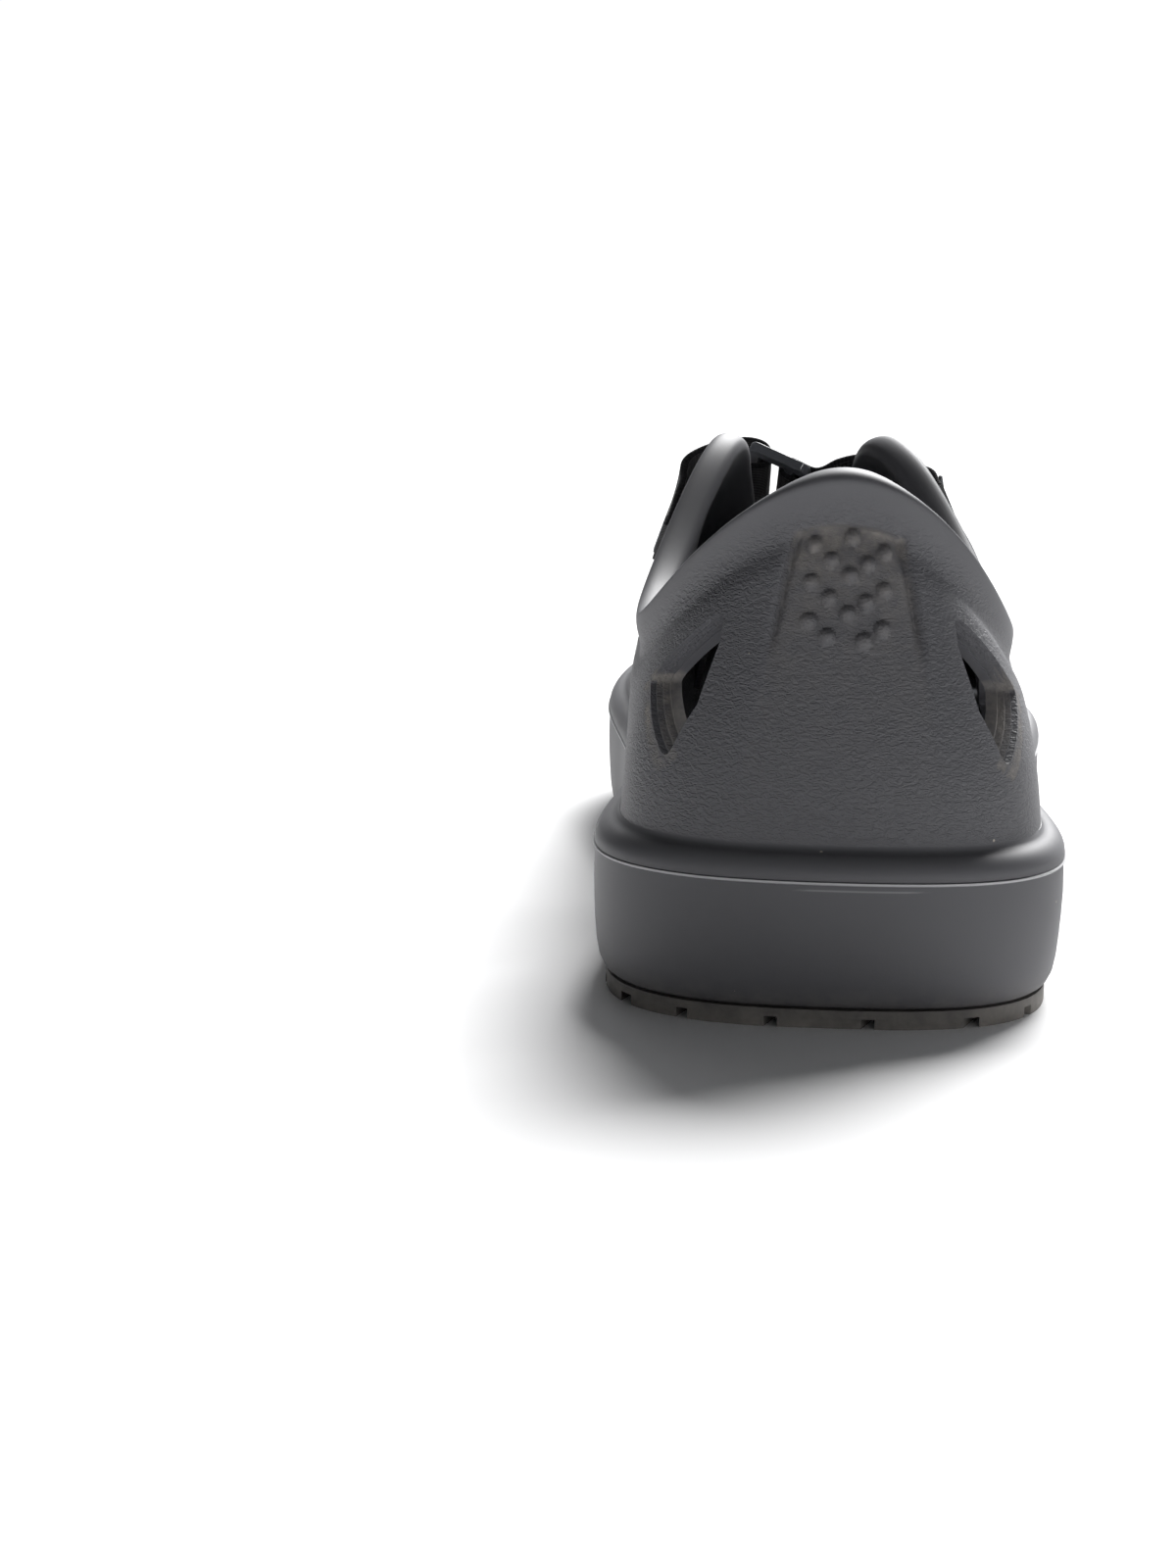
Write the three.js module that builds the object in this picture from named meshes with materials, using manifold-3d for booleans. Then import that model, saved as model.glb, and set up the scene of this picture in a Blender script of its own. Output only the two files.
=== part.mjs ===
// A closed-back foam clog for a right foot, with an instep strap.
// A moulded foam upper stands on a foam midsole with two rubber treads, and holds a lift-out footbed.
// Webbing from each side of the upper meets in a ladder buckle over the instep.
// Millimetres: X points to the outer side of the foot, Y to the toe and Z up from the ground.

import * as THREE from 'three';
import { mergeVertices } from 'three/addons/utils/BufferGeometryUtils.js';
import Module from 'manifold-3d';

// ---- driving dimensions ----

const FOOTPRINT_CENTRE = [3.75, 146.48]; // middle of the sole's outline box, moved to the origin
const TOE_SPRING = 9; // how far the toe's tip is lifted
const TOE_SPRING_START = 205; // the sole is flat from the heel to here
const TOE_TIP = 296;

const WALL = 4.5; // thickness of the moulded upper
const TOUCH_GAP = 0.3; // clearance between pieces that touch
const PARTING_Z = 26.6; // top of the midsole, where the bead begins
const UPPER_INSET = 4.5; // the upper's wall starts this far inside the sole's edge
const UPPER_Z = 30.5; // and this high
const SOLE_Z = 3.5; // underside of the midsole
const TREAD_INSET = 3;
const TREAD_PLATE_Z = 1.8; // underside of a tread's plate, with the lugs below it

const STEPS_PER_STATION = 3;
const CAP_CENTRE = [3, 150];

const STRAP_WIDTH = 20;
const STRAP_THICKNESS = 1.3;
const STRAP_TILT = 27; // degrees that the strap's width slopes down towards the toe
const STRAP_ORIGIN = [0, 146, 86.5]; // where the strap's plane crosses the throat
const BUCKLE_SLOPE = 25; // degrees that the buckle drops towards the outer side
const HINGE_BAR = [-14.5, 2.2]; // the bar in the anchor loop, across and above the strap's origin
const FRAME_THICKNESS = 2.2;

const SLOT_HEIGHT = 3.4;
const SLOT_WIDTH = STRAP_WIDTH + 2;

// Stations anticlockwise round the foot from the heel centre. Each one has the sole's outline point (x, y),
// the collar's edge point (x, y, z), how the wall sets out from the sole (inwards, up), and the handle that
// it arrives with, measured back from the collar's edge (x, y, z).
const STATIONS = [
  [0, -2, 0, 13, 98.3, -2, 24, 0, 2, -22],
  [26, 0, 13, 15, 93, -1, 24, 4, 0, -22],
  [42, 16, 25, 28, 78, 0, 20, 6, 0, -16],
  [44, 45, 33, 52, 63, 2, 15, 5, 0, -12],
  [42, 78, 30, 82, 71, 2, 20, 8, 0, -18],
  [43, 112, 16, 106, 98, 2, 30, 13, 2, -20],
  [50, 150, 7, 124, 100, 3, 30, 20, 8, -14],
  [56, 190, 5, 142, 84, 4, 30, 26, 18, -10],
  [55, 230, 3, 156, 77, 5, 28, 24, 36, -12],
  [40, 268, -1, 163, 75.5, 6, 26, 14, 56, -18],
  [14, 293, -4, 165, 74.5, 7, 26, 2, 66, -20],
  [-14, 297, -7, 165, 74.5, 7, 26, -10, 64, -20],
  [-39, 276, -10, 163, 75.5, 6, 26, -20, 52, -18],
  [-49, 238, -13, 156, 77, 5, 28, -24, 34, -12],
  [-47, 196, -14, 142, 84, 4, 30, -22, 18, -10],
  [-42, 155, -17, 124, 100, 3, 32, -16, 8, -14],
  [-38, 115, -23, 106, 98, 2, 32, -10, 2, -20],
  [-40, 78, -34, 82, 71, 2, 20, -8, 0, -18],
  [-44, 45, -36, 52, 64, 2, 15, -5, 0, -12],
  [-43, 16, -27, 28, 79, 0, 20, -6, 0, -16],
  [-26, 0, -14, 15, 93, -1, 24, -4, 0, -22],
];

// Openings through the side walls, as (y, z) outlines seen from the side.
const SIDE_OPENINGS = [
  [[16, 71.5], [26.5, 57], [13, 44.5], [12, 55], [14, 66]],
  [[60, 50], [78, 57.5], [98, 45], [74, 38.5]],
  [[170, 46], [186, 51], [192, 45], [176, 40.5]],
  [[201, 44.5], [216, 48.5], [221, 43], [206, 39]],
];

// ---- the surface of the foot form ----

// Smooth closed curve through the table of stations (a uniform cubic B-spline).
function stationAt(u) {
  const count = STATIONS.length;
  const i = Math.floor(u);
  const f = u - i;
  const weights = [(1 - f) ** 3, 3 * f ** 3 - 6 * f ** 2 + 4, -3 * f ** 3 + 3 * f ** 2 + 3 * f + 1, f ** 3];
  return STATIONS[0].map((_, column) =>
    weights.reduce((sum, w, k) => sum + (w * STATIONS[(i + k - 1 + count) % count][column]) / 6, 0));
}

function inwardAt(u) {
  const step = 0.001;
  const before = stationAt(u - step + STATIONS.length);
  const after = stationAt(u + step);
  const along = new THREE.Vector2(after[0] - before[0], after[1] - before[1]).normalize();
  return new THREE.Vector2(-along.y, along.x);
}

function toeLift(y) {
  const t = Math.max(0, (y - TOE_SPRING_START) / (TOE_TIP - TOE_SPRING_START));
  return TOE_SPRING * t * t;
}

// A point on the outline moved inwards, at a height above the sprung ground line.
function footPoint(u, inset, z) {
  const station = stationAt(u);
  const inward = inwardAt(u);
  const y = station[1] + inset * inward.y;
  return new THREE.Vector3(station[0] + inset * inward.x, y, z + toeLift(y));
}

// The upper's outer surface: v runs from the sole (0) to the collar (1).
function upperPoint(u, v) {
  const s = stationAt(u);
  const inward = inwardAt(u);
  const start = footPoint(u, UPPER_INSET, UPPER_Z);
  const leave = start.clone().add(new THREE.Vector3(inward.x * s[5], inward.y * s[5], s[6]));
  const end = new THREE.Vector3(s[2], s[3], s[4]);
  const arrive = end.clone().add(new THREE.Vector3(s[7], s[8], s[9]));
  return new THREE.CubicBezierCurve3(start, leave, arrive, end).getPoint(v);
}

function upperNormal(u, v) {
  const step = 0.002;
  const low = Math.max(0, v - step);
  const high = Math.min(1, v + step);
  const across = upperPoint(u + step, v).sub(upperPoint(u - step + STATIONS.length, v));
  const up = upperPoint(u, high).sub(upperPoint(u, low));
  return across.cross(up).normalize();
}

// ---- closed meshes ----

const STATION_STEPS = STATIONS.length * STEPS_PER_STATION;

function ring(pointAt) {
  return Array.from({ length: STATION_STEPS }, (_, i) => pointAt(i / STEPS_PER_STATION));
}

function bodyFrom(points, faces) {
  const geometry = new THREE.BufferGeometry();
  geometry.setAttribute('position', new THREE.Float32BufferAttribute(points.flatMap((p) => p.toArray()), 3));
  geometry.setIndex(faces.flat());
  return geometry;
}

// Joins each ring to the next one. A tube of rings closes on its first ring.
function ringFaces(ringCount, closed) {
  const faces = [];
  const last = closed ? ringCount : ringCount - 1;
  for (let r = 0; r < last; r += 1) {
    const next = (r + 1) % ringCount;
    for (let i = 0; i < STATION_STEPS; i += 1) {
      const j = (i + 1) % STATION_STEPS;
      const [a, b] = [r * STATION_STEPS + i, r * STATION_STEPS + j];
      const [c, d] = [next * STATION_STEPS + i, next * STATION_STEPS + j];
      faces.push([a, b, d], [a, d, c]);
    }
  }
  return faces;
}

// A shell of rings, listed from the outside bottom, over the top and down the inside.
function tubeOfRings(rings) {
  return bodyFrom(rings.flat(), ringFaces(rings.length, true));
}

// A block of rings, listed from the bottom to the top, with a centre point under and over it.
function stackOfRings(rings, bottomZ, topZ) {
  const points = rings.flat();
  const faces = ringFaces(rings.length, false);
  const bottom = points.length;
  const top = bottom + 1;
  points.push(new THREE.Vector3(...CAP_CENTRE, bottomZ), new THREE.Vector3(...CAP_CENTRE, topZ));
  const lastRing = (rings.length - 1) * STATION_STEPS;
  for (let i = 0; i < STATION_STEPS; i += 1) {
    const j = (i + 1) % STATION_STEPS;
    faces.push([bottom, j, i], [top, lastRing + i, lastRing + j]);
  }
  return bodyFrom(points, faces);
}

// A ring drawn in towards the middle of the foot, for the flat faces of a block.
function ringTowardsCentre(inset, share, zAt) {
  return ring((u) => {
    const edge = footPoint(u, inset, 0);
    const x = edge.x + (CAP_CENTRE[0] - edge.x) * share;
    const y = edge.y + (CAP_CENTRE[1] - edge.y) * share;
    return new THREE.Vector3(x, y, zAt(x, y) + toeLift(y));
  });
}

// ---- joining and cutting ----

const wasm = await Module();
wasm.setup();

function toSolid(geometry) {
  const bare = geometry.clone();
  bare.deleteAttribute('normal');
  bare.deleteAttribute('uv');
  const merged = mergeVertices(bare, 1e-4);
  const vertProperties = new Float32Array(merged.attributes.position.array);
  const triVerts = new Uint32Array(merged.index.array);
  return new wasm.Manifold(new wasm.Mesh({ numProp: 3, vertProperties, triVerts }));
}

function toGeometry(solid) {
  const mesh = solid.getMesh();
  const geometry = new THREE.BufferGeometry();
  geometry.setAttribute('position', new THREE.Float32BufferAttribute(mesh.vertProperties, 3));
  geometry.setIndex(new THREE.Uint32BufferAttribute(mesh.triVerts, 1));
  return geometry;
}

function shapeOf(points) {
  return new THREE.Shape(points.map(([a, b]) => new THREE.Vector2(a, b)));
}

function extrude(shape, depth) {
  return new THREE.ExtrudeGeometry(shape, { depth, bevelEnabled: false });
}

// ---- upper ----

const BEAD = [[0.4, PARTING_Z + TOUCH_GAP], [0, 28.2], [0.5, 29.7], [2, 30.8]];
const OUTER_STEPS = [0, 0.12, 0.25, 0.4, 0.55, 0.7, 0.84, 0.95];
const INNER_STEPS = [0.95, 0.8, 0.6, 0.4, 0.2, 0.05];
const RIM_ROUNDING = 0.6;

function innerPoint(u, v) {
  return upperPoint(u, v).addScaledVector(upperNormal(u, v), -WALL);
}

function rimPoint(u) {
  return upperPoint(u, 1).lerp(innerPoint(u, 1), 0.5).addScaledVector(new THREE.Vector3(0, 0, 1), RIM_ROUNDING);
}

// A straight bar across the foot, which cuts the same opening through both side walls.
function sideCutter(outline, fromX, toX) {
  const geometry = extrude(shapeOf(outline), toX - fromX);
  const toSide = new THREE.Matrix4().makeBasis(
    new THREE.Vector3(0, 1, 0), new THREE.Vector3(0, 0, 1), new THREE.Vector3(1, 0, 0));
  return geometry.applyMatrix4(toSide).translate(fromX, 0, 0);
}

function makeUpper() {
  const rings = [
    ...BEAD.map(([inset, z]) => ring((u) => footPoint(u, inset, z))),
    ...OUTER_STEPS.map((v) => ring((u) => upperPoint(u, v))),
    ring(rimPoint),
    ...INNER_STEPS.map((v) => ring((u) => innerPoint(u, v))),
    ring((u) => footPoint(u, UPPER_INSET + WALL, PARTING_Z + TOUCH_GAP)),
  ];
  let upper = toSolid(tubeOfRings(rings));
  const reach = 70;
  for (const outline of SIDE_OPENINGS) {
    upper = upper.subtract(toSolid(sideCutter(outline, -reach, reach)));
  }
  for (const side of [SLOTS.inner, SLOTS.outer]) {
    upper = upper.subtract(toSolid(strapBlock(side.from, side.to, side.n, SLOT_HEIGHT, SLOT_WIDTH)));
  }
  return toGeometry(upper);
}

// ---- midsole and footbed ----

const SIDEWALL = [[4.2, SOLE_Z], [2.2, 4.2], [1, 6.6], [0.4, 12], [0, 20], [0.1, 25.6], [0.6, PARTING_Z - 0.1]];
const CAP_SHARES = [0.15, 0.35, 0.6, 0.8];

function makeMidsole() {
  const capAt = (inset, z) => (share) => ringTowardsCentre(inset, share, () => z);
  const rings = [
    ...CAP_SHARES.toReversed().map(capAt(4.2, SOLE_Z)),
    ...SIDEWALL.map(([inset, z]) => ring((u) => footPoint(u, inset, z))),
    ...CAP_SHARES.map(capAt(0.6, PARTING_Z - 0.1)),
  ];
  return stackOfRings(rings, SOLE_Z, PARTING_Z - 0.1);
}

const FOOTBED_INSET = UPPER_INSET + WALL + 0.5;
const FOOTBED_BOTTOM = PARTING_Z + 0.4;
const FOOTBED_LOW = 31.2; // top of the foam in the middle
const HEEL_CUP = 4.5; // how much higher its rim is round the heel
const FOREFOOT_RIM = 1.5;
const COVER_THICKNESS = 1.2;

function cupHeight(y) {
  const t = THREE.MathUtils.smoothstep(y, 70, 190);
  return THREE.MathUtils.lerp(HEEL_CUP, FOREFOOT_RIM, t);
}

// Height of the foam's top where it is a given share of the way from its rim to the middle.
function footbedTop(share, y) {
  return FOOTBED_LOW + cupHeight(y) * (1 - THREE.MathUtils.smoothstep(share, 0, 0.55));
}

function makeFootbedFoam() {
  const rim = (inset, extra) => ringTowardsCentre(inset, 0, (x, y) => footbedTop(0, y) + extra);
  const rings = [
    ...CAP_SHARES.toReversed().map((share) => ringTowardsCentre(FOOTBED_INSET, share, () => FOOTBED_BOTTOM)),
    ring((u) => footPoint(u, FOOTBED_INSET, FOOTBED_BOTTOM)),
    ring((u) => footPoint(u, FOOTBED_INSET + 0.3, FOOTBED_BOTTOM + 3)),
    rim(FOOTBED_INSET + 1.8, 0),
    ...CAP_SHARES.map((share) => ringTowardsCentre(FOOTBED_INSET + 1.8, share, (x, y) => footbedTop(share, y))),
  ];
  return stackOfRings(rings, FOOTBED_BOTTOM, FOOTBED_LOW);
}

function makeFootbedCover() {
  const under = (share) => ringTowardsCentre(FOOTBED_INSET + 1.8, share, (x, y) => footbedTop(share, y) + TOUCH_GAP);
  const over = (share) => ringTowardsCentre(
    FOOTBED_INSET + 2, share, (x, y) => footbedTop(share, y) + TOUCH_GAP + COVER_THICKNESS);
  const shares = [0, ...CAP_SHARES];
  const rings = [...shares.toReversed().map(under), ...shares.map(over)];
  return stackOfRings(rings, FOOTBED_LOW + TOUCH_GAP, FOOTBED_LOW + TOUCH_GAP + COVER_THICKNESS);
}

// ---- treads ----

const LUG_PITCH = 11;
const LUG_LENGTH = 5.5;
const LUG_WAVE = 9; // half a wave of the zigzag, across the foot
const LUG_SWING = 1.8;
const MERGE_DEPTH = 0.3; // how far a lug reaches into its plate

// How far the outline, moved inwards, reaches to one side at a given y.
function outlineReach(y, inset, side) {
  const samples = 420;
  let reach = 0;
  let last = footPoint(0, inset, 0);
  for (let i = 1; i <= samples; i += 1) {
    const next = footPoint((i / samples) * STATIONS.length % STATIONS.length, inset, 0);
    const crosses = (last.y - y) * (next.y - y) <= 0 && last.y !== next.y;
    if (crosses) {
      const x = THREE.MathUtils.mapLinear(y, last.y, next.y, last.x, next.x);
      if (x * side > reach * side) {
        reach = x;
      }
    }
    last = next;
  }
  return reach;
}

// A box-like body swept through cross-sections, each of four points in the same order.
function sweepSections(sections) {
  const points = sections.flat();
  const faces = [[0, 1, 2], [0, 2, 3]];
  for (let s = 0; s < sections.length - 1; s += 1) {
    for (let k = 0; k < 4; k += 1) {
      const [a, b] = [s * 4 + k, s * 4 + ((k + 1) % 4)];
      faces.push([a, a + 4, b + 4], [a, b + 4, b]);
    }
  }
  const e = (sections.length - 1) * 4;
  faces.push([e, e + 2, e + 1], [e, e + 3, e + 2]);
  return bodyFrom(points, faces);
}

function soleSlab(yValues, bottomZ, topZ) {
  return sweepSections(yValues.map((y) => {
    const [left, right] = [outlineReach(y, TREAD_INSET, -1), outlineReach(y, TREAD_INSET, 1)];
    const lift = toeLift(y);
    return [[left, bottomZ], [right, bottomZ], [right, topZ], [left, topZ]]
      .map(([x, z]) => new THREE.Vector3(x, y, z + lift));
  }));
}

function zigzagLug(y0) {
  const count = 13;
  const firstX = -54;
  return sweepSections(Array.from({ length: count }, (_, i) => {
    const y = y0 + (i % 2 ? LUG_SWING : -LUG_SWING);
    const x = firstX + i * LUG_WAVE;
    const [back, front] = [y - LUG_LENGTH / 2, y + LUG_LENGTH / 2];
    const top = TREAD_PLATE_Z + MERGE_DEPTH;
    return [[back, 0], [back, top], [front, top], [front, 0]]
      .map(([yy, z]) => new THREE.Vector3(x, yy, z + toeLift(yy)));
  }));
}

function makeTread(yValues, lugRows) {
  const plate = toSolid(soleSlab(yValues, TREAD_PLATE_Z, SOLE_Z - TOUCH_GAP));
  const limits = toSolid(soleSlab(yValues, -1, SOLE_Z));
  const tread = lugRows.reduce((body, y) => body.add(toSolid(zigzagLug(y)).intersect(limits)), plate);
  return toGeometry(tread);
}

function spread(first, step, count) {
  return Array.from({ length: count }, (_, i) => first + i * step);
}

// ---- webbing and buckle ----

const DEG = Math.PI / 180;
const ACROSS = new THREE.Vector3(1, 0, 0);
const ALONG = new THREE.Vector3(0, Math.cos(STRAP_TILT * DEG), -Math.sin(STRAP_TILT * DEG)); // strap's width
const OUTWARD = new THREE.Vector3().crossVectors(ACROSS, ALONG);

// Slots through the quarters, from the inside of each wall to its outside, at a height n in the strap's plane.
const SLOTS = {
  inner: { from: -45, to: -24, n: -34 },
  outer: { from: 26, to: 50, n: -36 },
};

// Moves a flat shape drawn across and above the strap's origin into place, centred on the strap's width.
function placeInStrapPlane(geometry, width) {
  const start = new THREE.Vector3(...STRAP_ORIGIN).addScaledVector(ALONG, width / 2);
  const matrix = new THREE.Matrix4().makeBasis(ACROSS, OUTWARD, ALONG.clone().negate()).setPosition(start);
  return geometry.applyMatrix4(matrix);
}

function strapBlock(fromX, toX, n, height, width) {
  const half = height / 2;
  const outline = [[fromX, n - half], [toX, n - half], [toX, n + half], [fromX, n + half]];
  return placeInStrapPlane(extrude(shapeOf(outline), width), width);
}

// A strip of even thickness along a smooth path, seen edge on.
function ribbon(path, thickness, width, steps) {
  const curve = new THREE.SplineCurve(path.map(([a, b]) => new THREE.Vector2(a, b)));
  const left = [];
  const right = [];
  for (let i = 0; i <= steps; i += 1) {
    const point = curve.getPointAt(i / steps);
    const along = curve.getTangentAt(i / steps);
    const side = new THREE.Vector2(-along.y, along.x).multiplyScalar(thickness / 2);
    left.push(point.clone().add(side));
    right.unshift(point.clone().sub(side));
  }
  return placeInStrapPlane(extrude(new THREE.Shape([...left, ...right]), width), width);
}

// From inside the outer quarter, out through its slot and over the throat to the buckle.
const STRAP_PATH = [
  [28.9, -47], [28.9, -41.5], [30.6, -37.2], [34.5, -36], [38.4, -35.9], [41, -34.2], [40.7, -29],
  [38.9, -22.5], [36.3, -16], [33.1, -10.6], [29.2, -6.2], [24.5, -3.2], [18, -1.6], [11, 0], [7, 0.1],
  [3.4, -1.9], [0.5, -4.6],
];

// From inside the inner quarter, out through its slot, up under the hinge bar, round it and down again.
const LOOP_PATH = [
  [-26.2, -45], [-26.2, -39.5], [-27.6, -35.4], [-30.6, -34], [-33.8, -33.9], [-35.8, -32.4], [-35.7, -28],
  [-35.1, -20], [-34.2, -13], [-32.6, -7.6], [-29.5, -3.6], [-25, -1.6], [-20.5, -0.6], [-17.4, -0.65],
  [-14.5, -0.6], [-12.4, -0.15], [-11.6, 1.1], [-11.6, 3], [-12.6, 4.5], [-15, 5.4], [-18.5, 5.4],
  [-23.5, 4.1], [-28.5, 1.5], [-32.8, -2.6], [-35.8, -8], [-37.2, -13], [-37.6, -16.5],
];

// The free end: in under the buckle, round its middle bar and back over the top to the outer side.
const TAIL_PATH = [
  [-0.9, -5.6], [-3.8, -5.1], [-8.4, -2.95], [-9.25, -1.6], [-8.9, -0.4], [-8, 0.62], [-6.5, 0.9],
  [-2.2, -1.2], [0.4, -0.9], [3.5, 0.9], [8, 2.1], [13, 2], [18, 0.7], [24.7, -0.9], [31, -4.3],
];

const FRAME = { back: -1.4, front: 12.8, halfWidth: 13.5 };
const OPENINGS = [[1.2, 7.4, 10.8], [9.4, 11, 10.5]]; // from and to along the buckle, and half the width

function rectangle(fromA, toA, halfB) {
  return [[fromA, -halfB], [toA, -halfB], [toA, halfB], [fromA, halfB]];
}

function makeBuckle() {
  const shape = shapeOf(rectangle(FRAME.back, FRAME.front, FRAME.halfWidth));
  for (const [from, to, halfWidth] of OPENINGS) {
    shape.holes.push(new THREE.Path(shapeOf(rectangle(from, to, halfWidth)).getPoints()));
  }
  const slope = BUCKLE_SLOPE * DEG;
  const down = ACROSS.clone().multiplyScalar(Math.cos(slope)).addScaledVector(OUTWARD, -Math.sin(slope));
  const top = new THREE.Vector3().crossVectors(down, ALONG);
  const hinge = new THREE.Vector3(...STRAP_ORIGIN)
    .addScaledVector(ACROSS, HINGE_BAR[0])
    .addScaledVector(OUTWARD, HINGE_BAR[1])
    .addScaledVector(top, -FRAME_THICKNESS / 2);
  const matrix = new THREE.Matrix4().makeBasis(down, ALONG, top).setPosition(hinge);
  return extrude(shape, FRAME_THICKNESS).applyMatrix4(matrix);
}

// A short dense row of zigzag stitches across the webbing, as a thin pad on its face.
function barTack([ax, an], [bx, bn]) {
  const thickness = 0.5;
  const width = STRAP_WIDTH - 3;
  return ribbon([[ax, an], [(ax + bx) / 2, (an + bn) / 2], [bx, bn]], thickness, width, 2);
}

// ---- assembly ----

const FOAM = { color: 0x3b3c40, roughness: 0.62, metalness: 0 };
const RUBBER = { color: 0x333438, roughness: 0.8, metalness: 0 };
const WEBBING = { color: 0x17181b, roughness: 0.9, metalness: 0 };
const THREAD = { color: 0x55575c, roughness: 0.8, metalness: 0 };
const PLASTIC = { color: 0x6f7176, roughness: 0.4, metalness: 0 };
const TEXTILE = { color: 0x3a3d44, roughness: 0.95, metalness: 0 };

const HEEL_SLICES = [1.8, 3, 5.5, 10, 18, 28, 40, 52, 64, 76];
const FOREFOOT_SLICES = [158, 168, 180, 192, 205, 215, 225, 235, 245, 255, 264, 272, 279, 285, 289];
const HEEL_LUG_ROWS = spread(6, LUG_PITCH, 7);
const FOREFOOT_LUG_ROWS = spread(163, LUG_PITCH, 12);

const clog = new THREE.Group();

function addPiece(name, geometry, finish) {
  const material = new THREE.MeshStandardMaterial(finish);
  const mesh = new THREE.Mesh(geometry, material);
  mesh.name = name;
  clog.add(mesh);
}

addPiece('upper_shell', makeUpper(), FOAM);
addPiece('midsole', makeMidsole(), FOAM);
addPiece('footbed_foam', makeFootbedFoam(), FOAM);
addPiece('footbed_cover', makeFootbedCover(), TEXTILE);
addPiece('heel_tread', makeTread(HEEL_SLICES, HEEL_LUG_ROWS), RUBBER);
addPiece('forefoot_tread', makeTread(FOREFOOT_SLICES, FOREFOOT_LUG_ROWS), RUBBER);
addPiece('instep_strap', ribbon(STRAP_PATH, STRAP_THICKNESS, STRAP_WIDTH, 40), WEBBING);
addPiece('medial_anchor_loop', ribbon(LOOP_PATH, STRAP_THICKNESS, STRAP_WIDTH, 64), WEBBING);
addPiece('strap_tail', ribbon(TAIL_PATH, STRAP_THICKNESS, STRAP_WIDTH, 36), WEBBING);
addPiece('buckle_frame', makeBuckle(), PLASTIC);
addPiece('strap_bar_tack', barTack([27.6, -45.5], [27.6, -43]), THREAD);
addPiece('loop_bar_tack', barTack([-38.5, -14.6], [-38.05, -12.1]), THREAD);
addPiece('tail_bar_tack', barTack([27.3, -0.75], [29.4, -1.9]), THREAD);

clog.position.set(-FOOTPRINT_CENTRE[0], -FOOTPRINT_CENTRE[1], 0);

export default clog;
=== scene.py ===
import math

import bmesh
import bpy
import numpy as np
from mathutils import Matrix, Vector
from mathutils.kdtree import KDTree


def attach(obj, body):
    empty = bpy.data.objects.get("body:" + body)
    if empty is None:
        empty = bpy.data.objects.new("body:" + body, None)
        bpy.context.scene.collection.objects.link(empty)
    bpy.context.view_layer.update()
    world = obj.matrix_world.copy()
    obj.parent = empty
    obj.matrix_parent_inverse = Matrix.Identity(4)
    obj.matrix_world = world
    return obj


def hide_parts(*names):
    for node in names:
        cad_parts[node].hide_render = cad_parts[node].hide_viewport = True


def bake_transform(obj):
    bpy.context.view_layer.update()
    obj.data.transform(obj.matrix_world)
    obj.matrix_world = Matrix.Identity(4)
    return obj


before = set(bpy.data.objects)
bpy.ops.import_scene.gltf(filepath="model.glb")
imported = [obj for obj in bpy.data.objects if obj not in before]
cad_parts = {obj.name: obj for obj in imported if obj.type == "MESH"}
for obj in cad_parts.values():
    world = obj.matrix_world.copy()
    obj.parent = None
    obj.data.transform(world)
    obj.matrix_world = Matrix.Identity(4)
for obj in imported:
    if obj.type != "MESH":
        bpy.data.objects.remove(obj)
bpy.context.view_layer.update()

# ---- Camera, floor and light ----
# The clog stands on a white sweep, seen from behind and a little above. Soft light comes from over and
# beyond the toe, so the heel is shaded and its shadow falls towards the viewer.

CAMERA_PLACE = Vector((-0.02595, -0.62788, 0.122))
CAMERA_YAW = math.radians(2.5)
CAMERA_PITCH = math.radians(-9.4)
CAMERA_ROLL = math.radians(1.2)


def make_camera():
    forward = Vector((
        -math.sin(CAMERA_YAW) * math.cos(CAMERA_PITCH),
        math.cos(CAMERA_YAW) * math.cos(CAMERA_PITCH),
        math.sin(CAMERA_PITCH),
    ))
    level = Vector((math.cos(CAMERA_YAW), math.sin(CAMERA_YAW), 0))
    turn = Matrix.Rotation(-CAMERA_ROLL, 3, forward)
    right = turn @ level
    up = right.cross(forward)
    camera = bpy.data.objects.new("camera", bpy.data.cameras.new("camera"))
    bpy.context.collection.objects.link(camera)
    camera.matrix_world = Matrix.Translation(CAMERA_PLACE) @ Matrix((right, up, -forward)).transposed().to_4x4()
    camera.data.lens = 65.25
    camera.data.sensor_width = 36
    camera.data.clip_start = 0.01
    bpy.context.scene.camera = camera


def linear_colour(hex_code):
    """Linear RGBA of an sRGB hex colour."""
    channels = [int(hex_code[i:i + 2], 16) / 255 for i in (1, 3, 5)]
    return [c / 12.92 if c <= 0.04045 else ((c + 0.055) / 1.055) ** 2.4 for c in channels] + [1.0]


def add_node(tree, kind, inputs=None, **settings):
    """Adds a node. inputs maps a socket's name or number to a value or to another node's output."""
    node = tree.nodes.new(kind)
    for name, value in settings.items():
        setattr(node, name, value)
    for key, value in (inputs or {}).items():
        if isinstance(value, bpy.types.NodeSocket):
            tree.links.new(value, node.inputs[key])
        else:
            node.inputs[key].default_value = value
    return node


def start_material(name):
    material = bpy.data.materials.new(name)
    material.use_nodes = True
    material.node_tree.nodes.clear()
    return material, material.node_tree


def finish_material(tree, shader):
    add_node(tree, "ShaderNodeOutputMaterial", {"Surface": shader.outputs[0]})


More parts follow.
